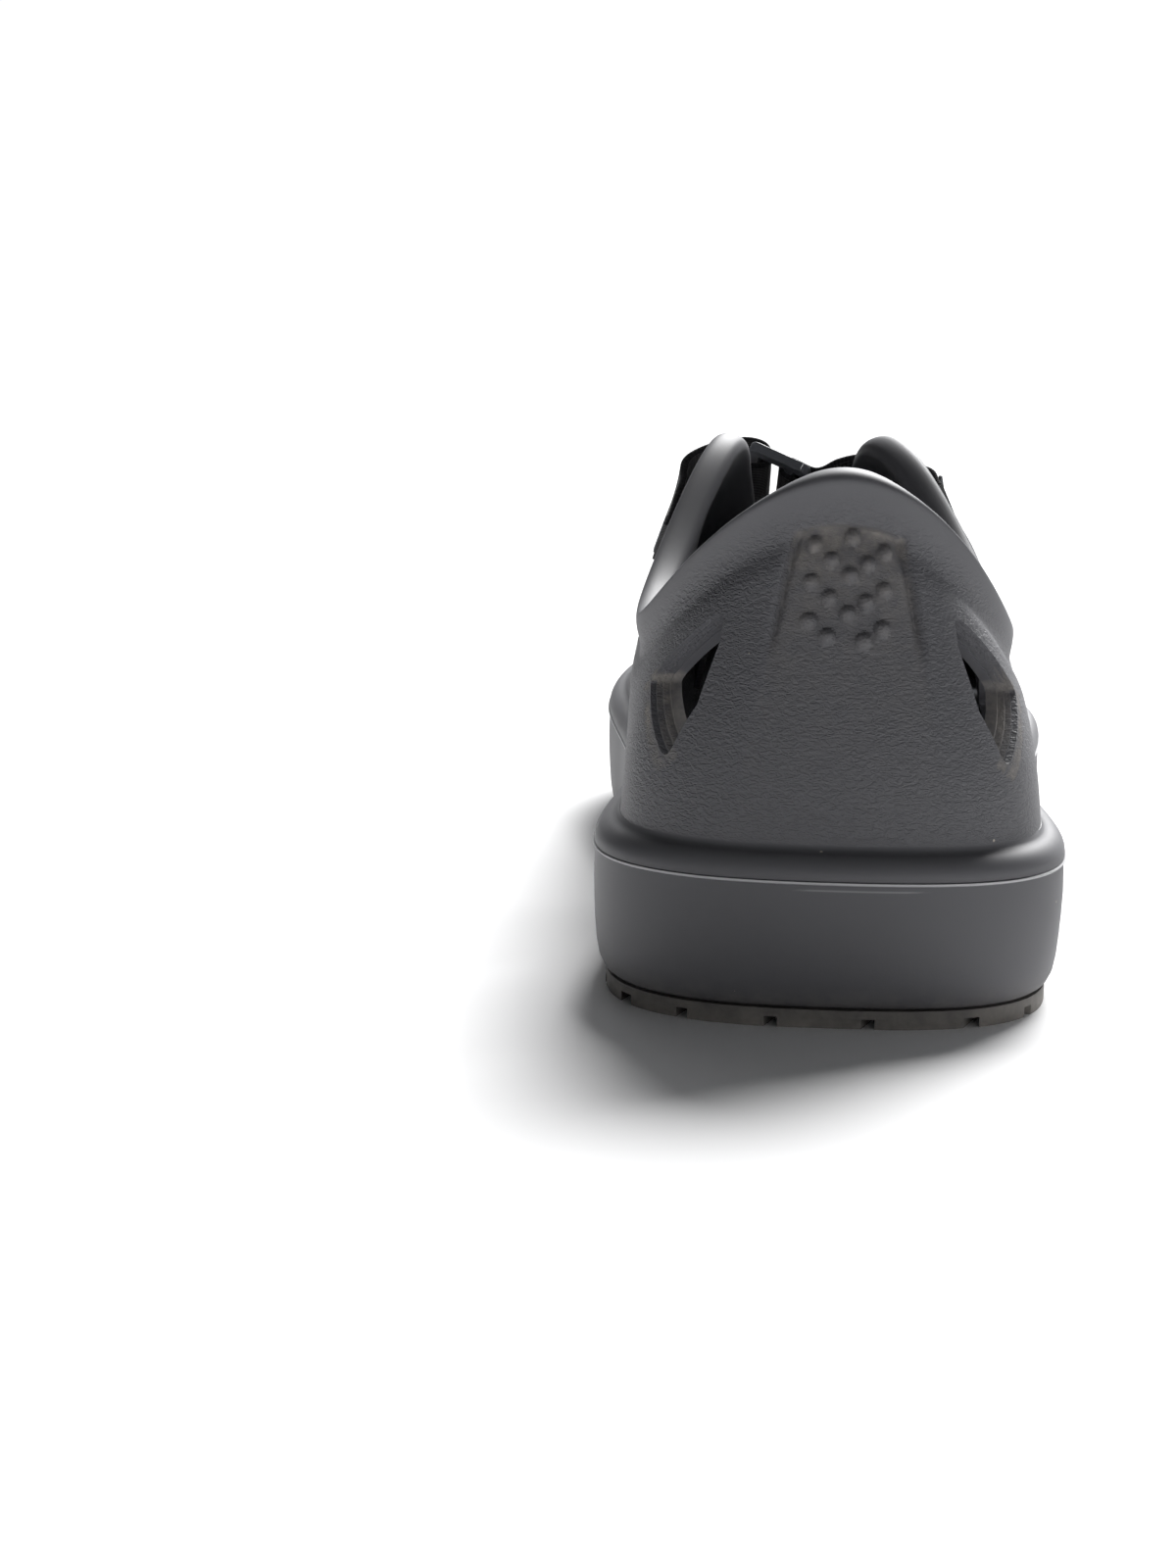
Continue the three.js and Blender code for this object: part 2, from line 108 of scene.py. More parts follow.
def matt_card():
    # Coated white paper: pale and even, with faint mottling and no shine.
    material, tree = start_material("white_paper")
    place = add_node(tree, "ShaderNodeTexCoord").outputs["Object"]
    mottle = add_node(tree, "ShaderNodeTexNoise", {"Vector": place, "Scale": 4.0, "Detail": 2.0})
    tone = add_node(tree, "ShaderNodeMix", {
        "Factor": mottle.outputs["Fac"], 6: linear_colour("#f3f3f3"), 7: linear_colour("#f8f8f8"),
    }, data_type="RGBA")
    finish_material(tree, add_node(tree, "ShaderNodeBsdfPrincipled", {
        "Base Color": tone.outputs[2], "Roughness": 0.95, "Specular IOR Level": 0.1,
    }))
    return material


def make_floor():
    mesh = bpy.data.meshes.new("floor")
    half = 6.0
    mesh.from_pydata([(-half, -half, 0), (half, -half, 0), (half, half, 0), (-half, half, 0)], [], [(0, 1, 2, 3)])
    floor = bpy.data.objects.new("floor", mesh)
    bpy.context.collection.objects.link(floor)
    mesh.materials.append(matt_card())


def make_world():
    # Bright beyond the toe, and dim overhead and on the inner side, where the other shoe would stand.
    world = bpy.data.worlds.new("white_room")
    bpy.context.scene.world = world
    world.use_nodes = True
    tree = world.node_tree
    tree.nodes.clear()
    direction = add_node(tree, "ShaderNodeTexCoord").outputs["Generated"]
    along = add_node(tree, "ShaderNodeSeparateXYZ", {0: direction})
    ahead = add_node(tree, "ShaderNodeMapRange", {
        "Value": along.outputs["Y"], "From Min": 0.4, "From Max": 0.88, "To Min": 0.09, "To Max": 1.6,
    }, interpolation_type="SMOOTHSTEP")
    beside = add_node(tree, "ShaderNodeMapRange", {
        "Value": along.outputs["X"], "From Min": -0.6, "From Max": 0.0, "To Min": 0.08, "To Max": 1.0,
    }, interpolation_type="SMOOTHSTEP")
    # A low fill reaches upright surfaces and hardly touches the floor.
    fill = add_node(tree, "ShaderNodeMapRange", {
        "Value": along.outputs["Z"], "From Min": 0.05, "From Max": 0.5, "To Min": 0.95, "To Max": 0.09,
    }, interpolation_type="SMOOTHSTEP")
    brighter = add_node(tree, "ShaderNodeMath", {0: ahead.outputs[0], 1: fill.outputs[0]}, operation="MAXIMUM")
    strength = add_node(tree, "ShaderNodeMath", {0: brighter.outputs[0], 1: beside.outputs[0]}, operation="MULTIPLY")
    background = add_node(tree, "ShaderNodeBackground", {
        "Color": linear_colour("#fbfcff"), "Strength": strength.outputs[0],
    })
    add_node(tree, "ShaderNodeOutputWorld", {"Surface": background.outputs[0]})


def add_soft_sun(name, came_from, strength, spread):
    """Even light over the whole sweep, from a disc of sky this many degrees across."""
    light = bpy.data.lights.new(name, "SUN")
    light.energy = strength
    light.angle = math.radians(spread)
    lamp = bpy.data.objects.new(name, light)
    bpy.context.collection.objects.link(lamp)
    lamp.rotation_euler = (-Vector(came_from)).to_track_quat("-Z", "Y").to_euler()


make_camera()
make_floor()
make_world()
add_soft_sun("back_softbox", (0.25, 0.8, 0.75), 6.6, 30)
bpy.context.scene.view_settings.view_transform = "Standard"

# ---- Moulded upper ----
# One moulding of closed-cell EVA foam: a bead round the foot edge, a leather-grained wall, a rolled collar
# with two ears, four pairs of side openings, and a heel pad with bumps to push the shoe off by.
# It is bonded to the midsole all round the bead.

FOOTPRINT_CENTRE = np.array([3.75, 146.48, 0])
TOE_SPRING = 9
TOE_SPRING_START = 205
TOE_TIP = 296
WALL = 4.5
PARTING_Z = 26.6
UPPER_INSET = 4.5
UPPER_Z = 30.5
TOUCH_GAP = 0.3

# Stations anticlockwise round the foot from the heel centre, in millimetres. Each one has the sole's outline
# point (x, y), the collar's edge point (x, y, z), how the wall sets out from the sole (inwards, up), and the
# handle that it arrives with, measured back from the collar's edge (x, y, z).
STATIONS = np.array([
    [0, -2, 0, 13, 98.3, -2, 24, 0, 2, -22],
    [26, 0, 13, 15, 93, -1, 24, 4, 0, -22],
    [42, 16, 25, 28, 78, 0, 20, 6, 0, -16],
    [44, 45, 33, 52, 63, 2, 15, 5, 0, -12],
    [42, 78, 30, 82, 71, 2, 20, 8, 0, -18],
    [43, 112, 16, 106, 98, 2, 30, 13, 2, -20],
    [50, 150, 7, 124, 100, 3, 30, 20, 8, -14],
    [56, 190, 5, 142, 84, 4, 30, 26, 18, -10],
    [55, 230, 3, 156, 77, 5, 28, 24, 36, -12],
    [40, 268, -1, 163, 75.5, 6, 26, 14, 56, -18],
    [14, 293, -4, 165, 74.5, 7, 26, 2, 66, -20],
    [-14, 297, -7, 165, 74.5, 7, 26, -10, 64, -20],
    [-39, 276, -10, 163, 75.5, 6, 26, -20, 52, -18],
    [-49, 238, -13, 156, 77, 5, 28, -24, 34, -12],
    [-47, 196, -14, 142, 84, 4, 30, -22, 18, -10],
    [-42, 155, -17, 124, 100, 3, 32, -16, 8, -14],
    [-38, 115, -23, 106, 98, 2, 32, -10, 2, -20],
    [-40, 78, -34, 82, 71, 2, 20, -8, 0, -18],
    [-44, 45, -36, 52, 64, 2, 15, -5, 0, -12],
    [-43, 16, -27, 28, 79, 0, 20, -6, 0, -16],
    [-26, 0, -14, 15, 93, -1, 24, -4, 0, -22],
])

# Openings through the side walls, as (y, z) outlines seen from the side. The first one is beside the heel.
HEEL_OPENING = [(16, 71.5), (26.5, 57), (13, 44.5), (12, 55), (14, 66)]
# Behind its outer edge it narrows in ledges: depth in the wall, then how far each edge of the outline moves in.
HEEL_LEDGES = [
    (0.9, (0.0, 0.0, 0.0, 0.0, 0.0)),
    (1.8, (0.1, 0.32, 0.05, 0.04, 0.04)),
    (2.8, (0.2, 0.64, 0.1, 0.08, 0.08)),
    (WALL, (0.5, 0.95, 0.15, 0.12, 0.12)),
]
SIDE_OPENINGS = [
    HEEL_OPENING,
    [(60, 50), (78, 57.5), (98, 45), (74, 38.5)],
    [(170, 46), (186, 51), (192, 45), (176, 40.5)],
    [(201, 44.5), (216, 48.5), (221, 43), (206, 39)],
]


PAD_DEPTH = 1.6
GROOVE_DEPTH = 1.25
GROOVE_REACH = 0.7
BUMP_RADIUS = 1.45
BUMP_HEIGHT = 1.5
BEAD_DEPTH = 4.4
BEAD_RISE = 3.9
BEAD_START_Z = 27.2


def smooth_step(value, start, end):
    t = np.clip((value - start) / (end - start), 0, 1)
    return t * t * (3 - 2 * t)


def unit(vectors):
    return vectors / np.linalg.norm(vectors, axis=-1, keepdims=True)


def station_at(u):
    """Smooth closed curve through the table of stations."""
    u = np.asarray(u, float) % len(STATIONS)
    i = np.floor(u).astype(int)
    f = (u - i)[..., None]
    row = lambda k: STATIONS[(i + k) % len(STATIONS)]
    return ((1 - f) ** 3 * row(-1) + (3 * f ** 3 - 6 * f ** 2 + 4) * row(0)
            + (-3 * f ** 3 + 3 * f ** 2 + 3 * f + 1) * row(1) + f ** 3 * row(2)) / 6


def inward_at(u):
    along = unit((station_at(u + 0.001) - station_at(u - 0.001))[..., :2])
    return np.stack([-along[..., 1], along[..., 0]], -1)


def toe_lift(y):
    return TOE_SPRING * np.clip((y - TOE_SPRING_START) / (TOE_TIP - TOE_SPRING_START), 0, None) ** 2


def foot_point(u, inset, z):
    """A point on the outline moved inwards, at a height above the sprung ground line."""
    flat = station_at(u)[..., :2] + np.asarray(inset)[..., None] * inward_at(u)
    return np.concatenate([flat, (z + toe_lift(flat[..., 1]))[..., None]], -1)


def upper_point(u, v):
    """The upper's outer surface: v runs from the sole (0) to the collar (1)."""
    u, v = np.broadcast_arrays(np.asarray(u, float), np.asarray(v, float))
    row = station_at(u)
    start = foot_point(u, np.full(u.shape, UPPER_INSET), UPPER_Z)
    leave = start + np.concatenate([inward_at(u) * row[..., 5:6], row[..., 6:7]], -1)
    end = row[..., 2:5]
    arrive = end + row[..., 7:10]
    t = v[..., None]
    return (1 - t) ** 3 * start + 3 * (1 - t) ** 2 * t * leave + 3 * (1 - t) * t ** 2 * arrive + t ** 3 * end


def upper_normal(u, v):
    low, high = np.clip(v - 0.002, 0, 1), np.clip(v + 0.002, 0, 1)
    around = upper_point(u + 0.002, v) - upper_point(u - 0.002, v)
    return unit(np.cross(around, upper_point(u, high) - upper_point(u, low)))


def spaced(values, lengths, spacing):
    """Picks values so that their distances apart follow the spacing wanted at each place."""
    count = np.concatenate([[0], np.cumsum(lengths / spacing)])
    return np.interp(np.linspace(0, count[-1], int(round(count[-1])) + 1), count, values)


def column_places(coarse, fine_pad, fine_opening):
    """Places round the foot, close together at the heel pad and the heel openings."""
    u = np.linspace(-10.5, 10.5, 4201)
    length = np.linalg.norm(np.diff(upper_point(u, np.full(u.shape, 0.55)), axis=0), axis=-1)
    middle = (u[1:] + u[:-1]) / 2
    pad = 1 - smooth_step(np.abs(middle - 0.03), 0.9, 1.5)
    opening = np.exp(-((np.abs(middle) - 1.55) / 0.55) ** 4)
    spacing = coarse + (fine_opening - coarse) * opening
    spacing = spacing + (fine_pad - spacing) * pad
    return spaced(u, length, spacing)[:-1]


def bump_centres():
    """(x, z) of the heel bumps: one on top, two full V rows and a third without its lowest bump."""
    centres = [(1.4, 84.8)]
    for row in range(3):
        middle_x, middle_z = 1.0 - 0.3 * row, 78.2 - 6.6 * row
        for step in (-2, -1, 0, 1, 2):
            if row < 2 or step:
                x = 3.2 * step
                centres.append((middle_x + x, middle_z + 2.35 * abs(step) - 0.09 * x))
    return centres


def arch_height(x):
    return 86.7 - 0.022 * (x - 1) ** 2 - 0.06 * (x - 1)


def pad_sides(z):
    return -9.0 - 0.195 * (84 - z), 10.7 + 0.175 * (83 - z)


def heel_recess(x, z):
    """How far the heel pad is let in under its arch, from 0 to 1."""
    left, right = pad_sides(z)
    inside = smooth_step(x, left - 0.6, left + 0.9) * smooth_step(-x, -right - 0.6, -right + 0.9)
    below = arch_height(x) - z
    return inside * smooth_step(below, -0.2, 0.25) * np.exp(-np.clip(below, 0, None) / 12)


def heel_relief(x, z):
    """Height of the heel pad's detail over the plain surface, in millimetres."""
    left, right = pad_sides(z)
    height = -PAD_DEPTH * heel_recess(x, z)
    fade = smooth_step(z, 62.5, 70) * smooth_step(-z, -86.5, -83.5)
    for side in (left, right):
        height = height - GROOVE_DEPTH * fade * np.exp(-((x - side) / GROOVE_REACH) ** 2)
    for centre_x, centre_z in bump_centres():
        share = np.clip(1 - ((x - centre_x) ** 2 + (z - centre_z) ** 2) / BUMP_RADIUS ** 2, 0, 1)
        height = height + BUMP_HEIGHT * share ** 0.6
    return height


def collar_relief(edge_y, to_edge):
    """The collar's edge rolls out, with a soft hollow under the roll. It dies out before the strap."""
    roll = 1.9 * (1 - smooth_step(to_edge, 1.5, 8.5)) - 1.1 * np.exp(-((to_edge - 11) / 3.6) ** 2)
    return roll * (1 - smooth_step(edge_y, 112, 126))


def tube_faces(rings, columns):
    """Faces of a closed tube of closed rings."""
    r, c = np.meshgrid(np.arange(rings), np.arange(columns), indexing="ij")
    r2, c2 = (r + 1) % rings, (c + 1) % columns
    return np.stack([r * columns + c, r * columns + c2, r2 * columns + c2, r2 * columns + c], -1).reshape(-1, 4)


def add_piece(name, points, faces, material):
    """Makes a smooth mesh object from points in the foot's millimetres, moved into the frame."""
    mesh = bpy.data.meshes.new(name)
    placed = (np.asarray(points, float).reshape(-1, 3) - FOOTPRINT_CENTRE) / 1000
    mesh.from_pydata(placed.tolist(), [], [[int(i) for i in face] for face in faces])
    piece = bpy.data.objects.new(name, mesh)
    bpy.context.collection.objects.link(piece)
    mesh.materials.append(material)
    mesh.shade_smooth()
    return piece


def foot_coordinates(mesh):
    """The vertices in the foot's millimetres."""
    flat = np.empty(len(mesh.vertices) * 3)
    mesh.vertices.foreach_get("co", flat)
    return flat.reshape(-1, 3) * 1000 + FOOTPRINT_CENTRE


def paint(mesh, name, values):
    layer = mesh.attributes.new(name, "FLOAT", "POINT")
    layer.data.foreach_set("value", np.asarray(values, dtype=np.float32))


def upper_rings():
    """Rings from the bead's bottom, up the outside, over the collar and down the inside, and their grain."""
    u = column_places(2.6, 0.42, 0.62)
    rings = [foot_point(u, np.full(u.shape, 0.0), z) for z in (PARTING_Z + 0.02, 26.9)]
    turn = np.radians(np.linspace(0, 72, 11))
    rings += [foot_point(u, np.full(u.shape, BEAD_DEPTH * (1 - math.cos(t))), BEAD_START_Z + BEAD_RISE * math.sin(t))
              for t in turn]
    fillet = ((3.75, 31.2), (4.15, 31.55), (4.4, 32.1))
    rings += [foot_point(u, np.full(u.shape, inset), z) for inset, z in fillet]
    grain = [np.zeros(u.shape) for _ in rings]

    speed = np.linalg.norm(upper_point(u, np.ones(u.shape)) - upper_point(u, np.full(u.shape, 0.999)), axis=-1) / 0.001
    half_wall = WALL / 2
    last = 1 - half_wall / speed
    heel_v = np.linspace(0, 1, 1001)
    length = np.linalg.norm(np.diff(upper_point(0 * heel_v, heel_v), axis=0), axis=-1)
    middle = (heel_v[1:] + heel_v[:-1]) / 2
    spacing = 0.75 - 0.33 * smooth_step(middle, 0.42, 0.5) * smooth_step(-middle, -0.93, -0.86)
    rows = spaced(heel_v, length, spacing)[3:]
    for v in rows:
        at = v * last
        point, normal = upper_point(u, at), upper_normal(u, at)
        to_edge = (1 - at) * speed
        relief = collar_relief(station_at(u)[..., 3], to_edge)
        heel = (point[..., 1] < 40) & (np.abs(point[..., 0]) < 24)
        relief = relief + np.where(heel, heel_relief(point[..., 0], point[..., 2]), 0)
        rings.append(point + normal * relief[..., None])
        on_pad = np.where(heel, heel_recess(point[..., 0], point[..., 2]), 0)
        grain.append(smooth_step(to_edge, 3, 9) * smooth_step(v, 0.0, 0.05) * (1 - 0.8 * on_pad))

    edge, normal = upper_point(u, last), upper_normal(u, last)
    tangent = unit(upper_point(u, last) - upper_point(u, last - 0.01))
    centre = edge - normal * half_wall
    roll = collar_relief(station_at(u)[..., 3], half_wall)
    for t in np.radians(np.linspace(15, 165, 11)):
        out = math.cos(t) * (half_wall + (roll if t < math.pi / 2 else 0))
        rings.append(centre + normal * np.asarray(out).reshape(-1, 1) + tangent * half_wall * math.sin(t))
    for share in np.linspace(1, 0.04, 26):
        at = share * last
        rings.append(upper_point(u, at) - upper_normal(u, at) * WALL)
    rings.append(foot_point(u, np.full(u.shape, UPPER_INSET + WALL), 30.5))
    rings.append(foot_point(u, np.full(u.shape, UPPER_INSET + WALL), PARTING_Z))
    grain += [np.zeros(u.shape)] * (len(rings) - len(grain))
    return np.stack(rings), np.stack(grain)


def rounded_outline(corners, radius, steps=5):
    """Points round a polygon with arcs at its corners."""
    corners = [Vector(c) for c in corners]
    outline = []
    for i, corner in enumerate(corners):
        before = (corners[i - 1] - corner).normalized()
        after = (corners[(i + 1) % len(corners)] - corner).normalized()
        half = before.angle(after) / 2
        reach = min(radius / math.tan(half), 0.4 * min((corners[i - 1] - corner).length,
                                                      (corners[(i + 1) % len(corners)] - corner).length))
        start, end = corner + before * reach, corner + after * reach
        for k in range(steps + 1):
            t = k / steps
            outline.append((1 - t) ** 2 * start + 2 * t * (1 - t) * corner + t ** 2 * end)
    return [tuple(p) for p in outline]


def prism(outline, low, high, place):
    """Points and faces of a straight bar with this outline. place turns (a, b, depth) into a point."""
    count = len(outline)
    points = [place(a, b, low) for a, b in outline] + [place(a, b, high) for a, b in outline]
    faces = [tuple(range(count))[::-1], tuple(range(count, 2 * count))]
    faces += [(i, (i + 1) % count, count + (i + 1) % count, count + i) for i in range(count)]
    return points, faces


# The strap lies in a plane that slopes down to the toe. across is the foot's width, along is the strap's
# width and outward is square to both.
STRAP_TILT = math.radians(27)
STRAP_ORIGIN = np.array([0, 146, 86.5])
STRAP_WIDTH = 20
STRAP_THICKNESS = 1.3
ACROSS = np.array([1, 0, 0])
ALONG = np.array([0, math.cos(STRAP_TILT), -math.sin(STRAP_TILT)])
OUTWARD = np.cross(ACROSS, ALONG)
SLOT_HEIGHT = 3.4
SLOTS = {"inner": (-45, -24, -34), "outer": (26, 50, -36)}


def strap_point(across, outward, along):
    return STRAP_ORIGIN + across * ACROSS + outward * OUTWARD + along * ALONG


def join_shapes(shapes):
    points, faces = [], []
    for some_points, some_faces in shapes:
        faces += [tuple(i + len(points) for i in face) for face in some_faces]
        points += [tuple(p) for p in some_points]
    return points, faces


def inset_outline(corners, insets):
    """Moves each edge of a clockwise outline inwards by its own distance."""
    lines = []
    for (a, b), (c, d), inset in zip(corners, [*corners[1:], corners[0]], insets):
        length = math.hypot(c - a, d - b)
        inward = ((d - b) / length, -(c - a) / length)
        lines.append(((a + inward[0] * inset, b + inward[1] * inset), (c - a, d - b)))
    moved = []
    for (start, along), (before, along_before) in zip(lines, [lines[-1], *lines[:-1]]):
        turn = along_before[0] * along[1] - along_before[1] * along[0]
        t = ((start[0] - before[0]) * along[1] - (start[1] - before[1]) * along[0]) / turn
        moved.append((before[0] + along_before[0] * t, before[1] + along_before[1] * t))
    return moved


def wall_slab(side, depth):
    """A slab of space from this deep in the heel's side wall to well outside it."""
    u, v = np.meshgrid(side * np.linspace(0.75, 2.6, 75), np.linspace(0.03, 0.93, 60), indexing="ij")
    point, normal = upper_point(u, v), upper_normal(u, v)
    sheets = np.stack([point - normal * depth, point + normal * 5]).reshape(-1, 3)
    rows, columns = u.shape
    faces = []
    for layer in (0, rows * columns):
        for i in range(rows - 1):
            for j in range(columns - 1):
                k = layer + i * columns + j
                faces.append((k, k + 1, k + columns + 1, k + columns))
    border = [i * columns for i in range(rows)] + [(rows - 1) * columns + j for j in range(1, columns)]
    border += [i * columns + columns - 1 for i in range(rows - 2, -1, -1)] + list(range(columns - 2, 0, -1))
    for k, following in zip(border, [*border[1:], border[0]]):
        faces.append((k, following, following + rows * columns, k + rows * columns))
    return sheets, faces


def across_foot(y, z, x):
    return x, y, z


def cutter_shapes():
    """Straight cutters for the openings' narrowest outlines and for the strap slots."""
    narrow = [inset_outline(HEEL_OPENING, HEEL_LEDGES[-1][1]), *SIDE_OPENINGS[1:]]
    shapes = [prism(rounded_outline(outline, 1.2), -70, 70, across_foot) for outline in narrow]
    for start, end, height in SLOTS.values():
        half, reach = SLOT_HEIGHT / 2, STRAP_WIDTH / 2 + 1
        mouth = rounded_outline([(-reach, height - half), (reach, height - half), (reach, height + half),
                                 (-reach, height + half)], half * 0.9)
        shapes.append(prism(mouth, start, end, lambda along, out, across: strap_point(across, out, along)))
    return shapes


def combine(piece, tool, operation):
    """Cuts the piece with a tool, or keeps only what they share, and removes the tool."""
    modifier = piece.modifiers.new("combine", "BOOLEAN")
    modifier.operation = operation
    modifier.solver = "EXACT"
    modifier.object = tool
    apply_modifiers(piece)
    bpy.data.objects.remove(tool)


def apply_modifiers(piece):
    """Bakes the modifiers into the mesh."""
    evaluated = piece.evaluated_get(bpy.context.evaluated_depsgraph_get())
    mesh = bpy.data.meshes.new_from_object(evaluated)
    piece.modifiers.clear()
    old = piece.data
    piece.data = mesh
    bpy.data.meshes.remove(old)


def face_outwards(mesh):
    edit = bmesh.new()
    edit.from_mesh(mesh)
    bmesh.ops.recalc_face_normals(edit, faces=edit.faces)
    edit.to_mesh(mesh)
    edit.free()


def eva_foam(name, grained):
    # Closed-cell EVA, moulded against an etched tool: charcoal, satin, with a wrinkled leather grain on the
    # upper and a smooth skin elsewhere. Pale dust sits on it in specks and fills the recesses.
    material, tree = start_material(name)
    place = add_node(tree, "ShaderNodeTexCoord").outputs["Object"]
    cloud = add_node(tree, "ShaderNodeTexNoise", {"Vector": place, "Scale": 28.0, "Detail": 3.0})
    tone = add_node(tree, "ShaderNodeMix", {
        "Factor": cloud.outputs["Fac"], 6: linear_colour("#4a4a4e"), 7: linear_colour("#565659"),
    }, data_type="RGBA")
    dust = add_node(tree, "ShaderNodeAttribute", attribute_name="dust").outputs["Fac"]
    film = add_node(tree, "ShaderNodeTexNoise", {"Vector": place, "Scale": 260.0, "Detail": 4.0, "Roughness": 0.7})
    film_share = add_node(tree, "ShaderNodeMapRange", {
        "Value": film.outputs["Fac"], "From Min": 0.35, "From Max": 0.7, "To Min": 0.15, "To Max": 1.0})
    dusty = add_node(tree, "ShaderNodeMath", {0: dust, 1: film_share.outputs[0]}, operation="MULTIPLY")
    with_film = add_node(tree, "ShaderNodeMix", {
        "Factor": dusty.outputs[0], 6: tone.outputs[2], 7: linear_colour("#8b8680")}, data_type="RGBA")
    # Specks of dust up to 0.6 mm across, some 6 mm apart.
    cells = add_node(tree, "ShaderNodeTexVoronoi", {"Vector": place, "Scale": 165.0, "Randomness": 1.0})
    size = add_node(tree, "ShaderNodeSeparateColor", {0: cells.outputs["Color"]}).outputs[0]
    limit = add_node(tree, "ShaderNodeMapRange", {
        "Value": size, "From Min": 0.45, "From Max": 1.0, "To Min": 0.0, "To Max": 0.05}).outputs[0]
    speck = add_node(tree, "ShaderNodeMath", {0: cells.outputs["Distance"], 1: limit}, operation="LESS_THAN")
    speckled = add_node(tree, "ShaderNodeMix", {
        "Factor": speck.outputs[0], 6: with_film.outputs[2], 7: linear_colour("#a29a90")}, data_type="RGBA")
    # The flash lines are painted pale: a painted highlight where the thin ridge under the bead would catch light from
    # above.
    flash_highlight = add_node(tree, "ShaderNodeAttribute", attribute_name="flash_highlight").outputs["Fac"]
    with_painted_highlight = add_node(tree, "ShaderNodeMix", {
        "Factor": flash_highlight, 6: speckled.outputs[2], 7: linear_colour("#a9a9ab")}, data_type="RGBA")
    shine = add_node(tree, "ShaderNodeMapRange", {
        "Value": cloud.outputs["Fac"], "From Min": 0.3, "From Max": 0.7, "To Min": 0.52, "To Max": 0.64}).outputs[0]
    roughness = add_node(tree, "ShaderNodeMath", {0: shine, 1: dusty.outputs[0]}, operation="ADD", use_clamp=True)

    # Fine pores of the skin, 0.25 mm across.
    pores = add_node(tree, "ShaderNodeTexNoise", {"Vector": place, "Scale": 4000.0, "Detail": 1.0})
    pore_bump = add_node(tree, "ShaderNodeBump", {
        "Height": pores.outputs["Fac"], "Strength": 0.25, "Distance": 0.00004})
    normal = pore_bump.outputs[0]
    if grained:
        # Wrinkles about 1.1 mm long sideways and 0.6 mm apart.
        stretch = add_node(tree, "ShaderNodeMapping", {"Vector": place, "Scale": (1.0, 1.0, 1.9)})
        wrinkles = add_node(tree, "ShaderNodeTexNoise", {
            "Vector": stretch.outputs[0], "Scale": 900.0, "Detail": 1.5, "Distortion": 0.9})
        ridges = add_node(tree, "ShaderNodeMapRange", {
            "Value": wrinkles.outputs["Fac"], "From Min": 0.38, "From Max": 0.62})
        grain = add_node(tree, "ShaderNodeAttribute", attribute_name="grain").outputs["Fac"]
        height = add_node(tree, "ShaderNodeMath", {0: ridges.outputs[0], 1: grain}, operation="MULTIPLY")
        normal = add_node(tree, "ShaderNodeBump", {
            "Height": height.outputs[0], "Strength": 0.85, "Distance": 0.00012, "Normal": normal}).outputs[0]
    finish_material(tree, add_node(tree, "ShaderNodeBsdfPrincipled", {
        "Base Color": with_painted_highlight.outputs[2], "Roughness": roughness.outputs[0], "IOR": 1.5, "Normal": normal}))
    return material


upper_foam = eva_foam("eva_foam_grained", grained=True)
rings, ring_grain = upper_rings()
upper = add_piece("upper_shell_moulding", rings, tube_faces(*rings.shape[:2]), upper_foam)
face_outwards(upper.data)

cutter = add_piece("opening_cutter", *join_shapes(cutter_shapes()), upper_foam)
face_outwards(cutter.data)
combine(upper, cutter, "DIFFERENCE")
for side, reach in ((1, (5, 70)), (-1, (-70, -5))):
    for depth, insets in HEEL_LEDGES[:-1]:
        outline = rounded_outline(inset_outline(HEEL_OPENING, insets), 1.2 + 0.13 * depth)
        ledge = add_piece("ledge_cutter", *prism(outline, *reach, across_foot), upper_foam)
        slab = add_piece("wall_slab", *wall_slab(side, depth), upper_foam)
        for tool in (ledge, slab):
            face_outwards(tool.data)
        combine(ledge, slab, "INTERSECT")
        face_outwards(ledge.data)
        combine(upper, ledge, "DIFFERENCE")

place = foot_coordinates(upper.data)
at_heel = (place[:, 1] < 40) & (np.abs(place[:, 0]) < 20)
dust = np.where(at_heel, 0.8 * heel_recess(place[:, 0], place[:, 2]), 0)
(front_y, front_z), (low_y, low_z) = HEEL_OPENING[1:3]
slope = unit(np.array([low_y - front_y, low_z - front_z]))
from_edge = (place[:, 1] - front_y) * slope[1] - (place[:, 2] - front_z) * slope[0]
run_down = (place[:, 1] - front_y) * slope[0] + (place[:, 2] - front_z) * slope[1]
on_ledges = (np.abs(from_edge) < 2.2) & (run_down > -1) & (run_down < 19) & (np.abs(place[:, 0]) > 20)
dust = np.maximum(dust, 0.75 * on_ledges * smooth_step(np.abs(from_edge), 0.1, 0.5))
paint(upper.data, "dust", dust)
nearest = KDTree(ring_grain.size)
for i, point in enumerate(rings.reshape(-1, 3)):
    nearest.insert(point, i)
nearest.balance()
paint(upper.data, "grain", [ring_grain.flat[nearest.find(point)[1]] for point in place])
upper.data.shade_smooth()
upper.data.set_sharp_from_angle(angle=math.radians(38))
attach(upper, "clog")
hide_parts("upper_shell")

# ---- Midsole ----
# A deep block of smooth EVA foam under the upper, moulded in its own two-part tool, which left a thin flash
# line just under the bead. Its lower edge is rounded and its toe is lifted.

SIDEWALL = [(4.2, 3.5), (3.0, 3.7), (2.0, 4.4), (1.2, 6.0), (0.7, 8.6), (0.4, 12), (0.15, 16), (0, 20), (0.05, 23.5),
            (0.1, 24.7), (0.1, 24.95), (0.12, 25.2), (0.12, 25.85), (-0.2, 26.1), (-0.32, 26.22), (-0.32, 26.42),
            (-0.1, 26.55), (0.6, 26.58)]
SECOND_FLASH_Z = 24.95  # a fainter line where the tool's insert met its body, behind the heel only
SOLE_MIDDLE = np.array([3, 150])


def ring_towards_middle(u, inset, share, z):
    edge = foot_point(u, np.full(u.shape, inset), 0)[..., :2]
    flat = edge + (SOLE_MIDDLE - edge) * share
    return np.concatenate([flat, (z + toe_lift(flat[..., 1]))[..., None]], -1)


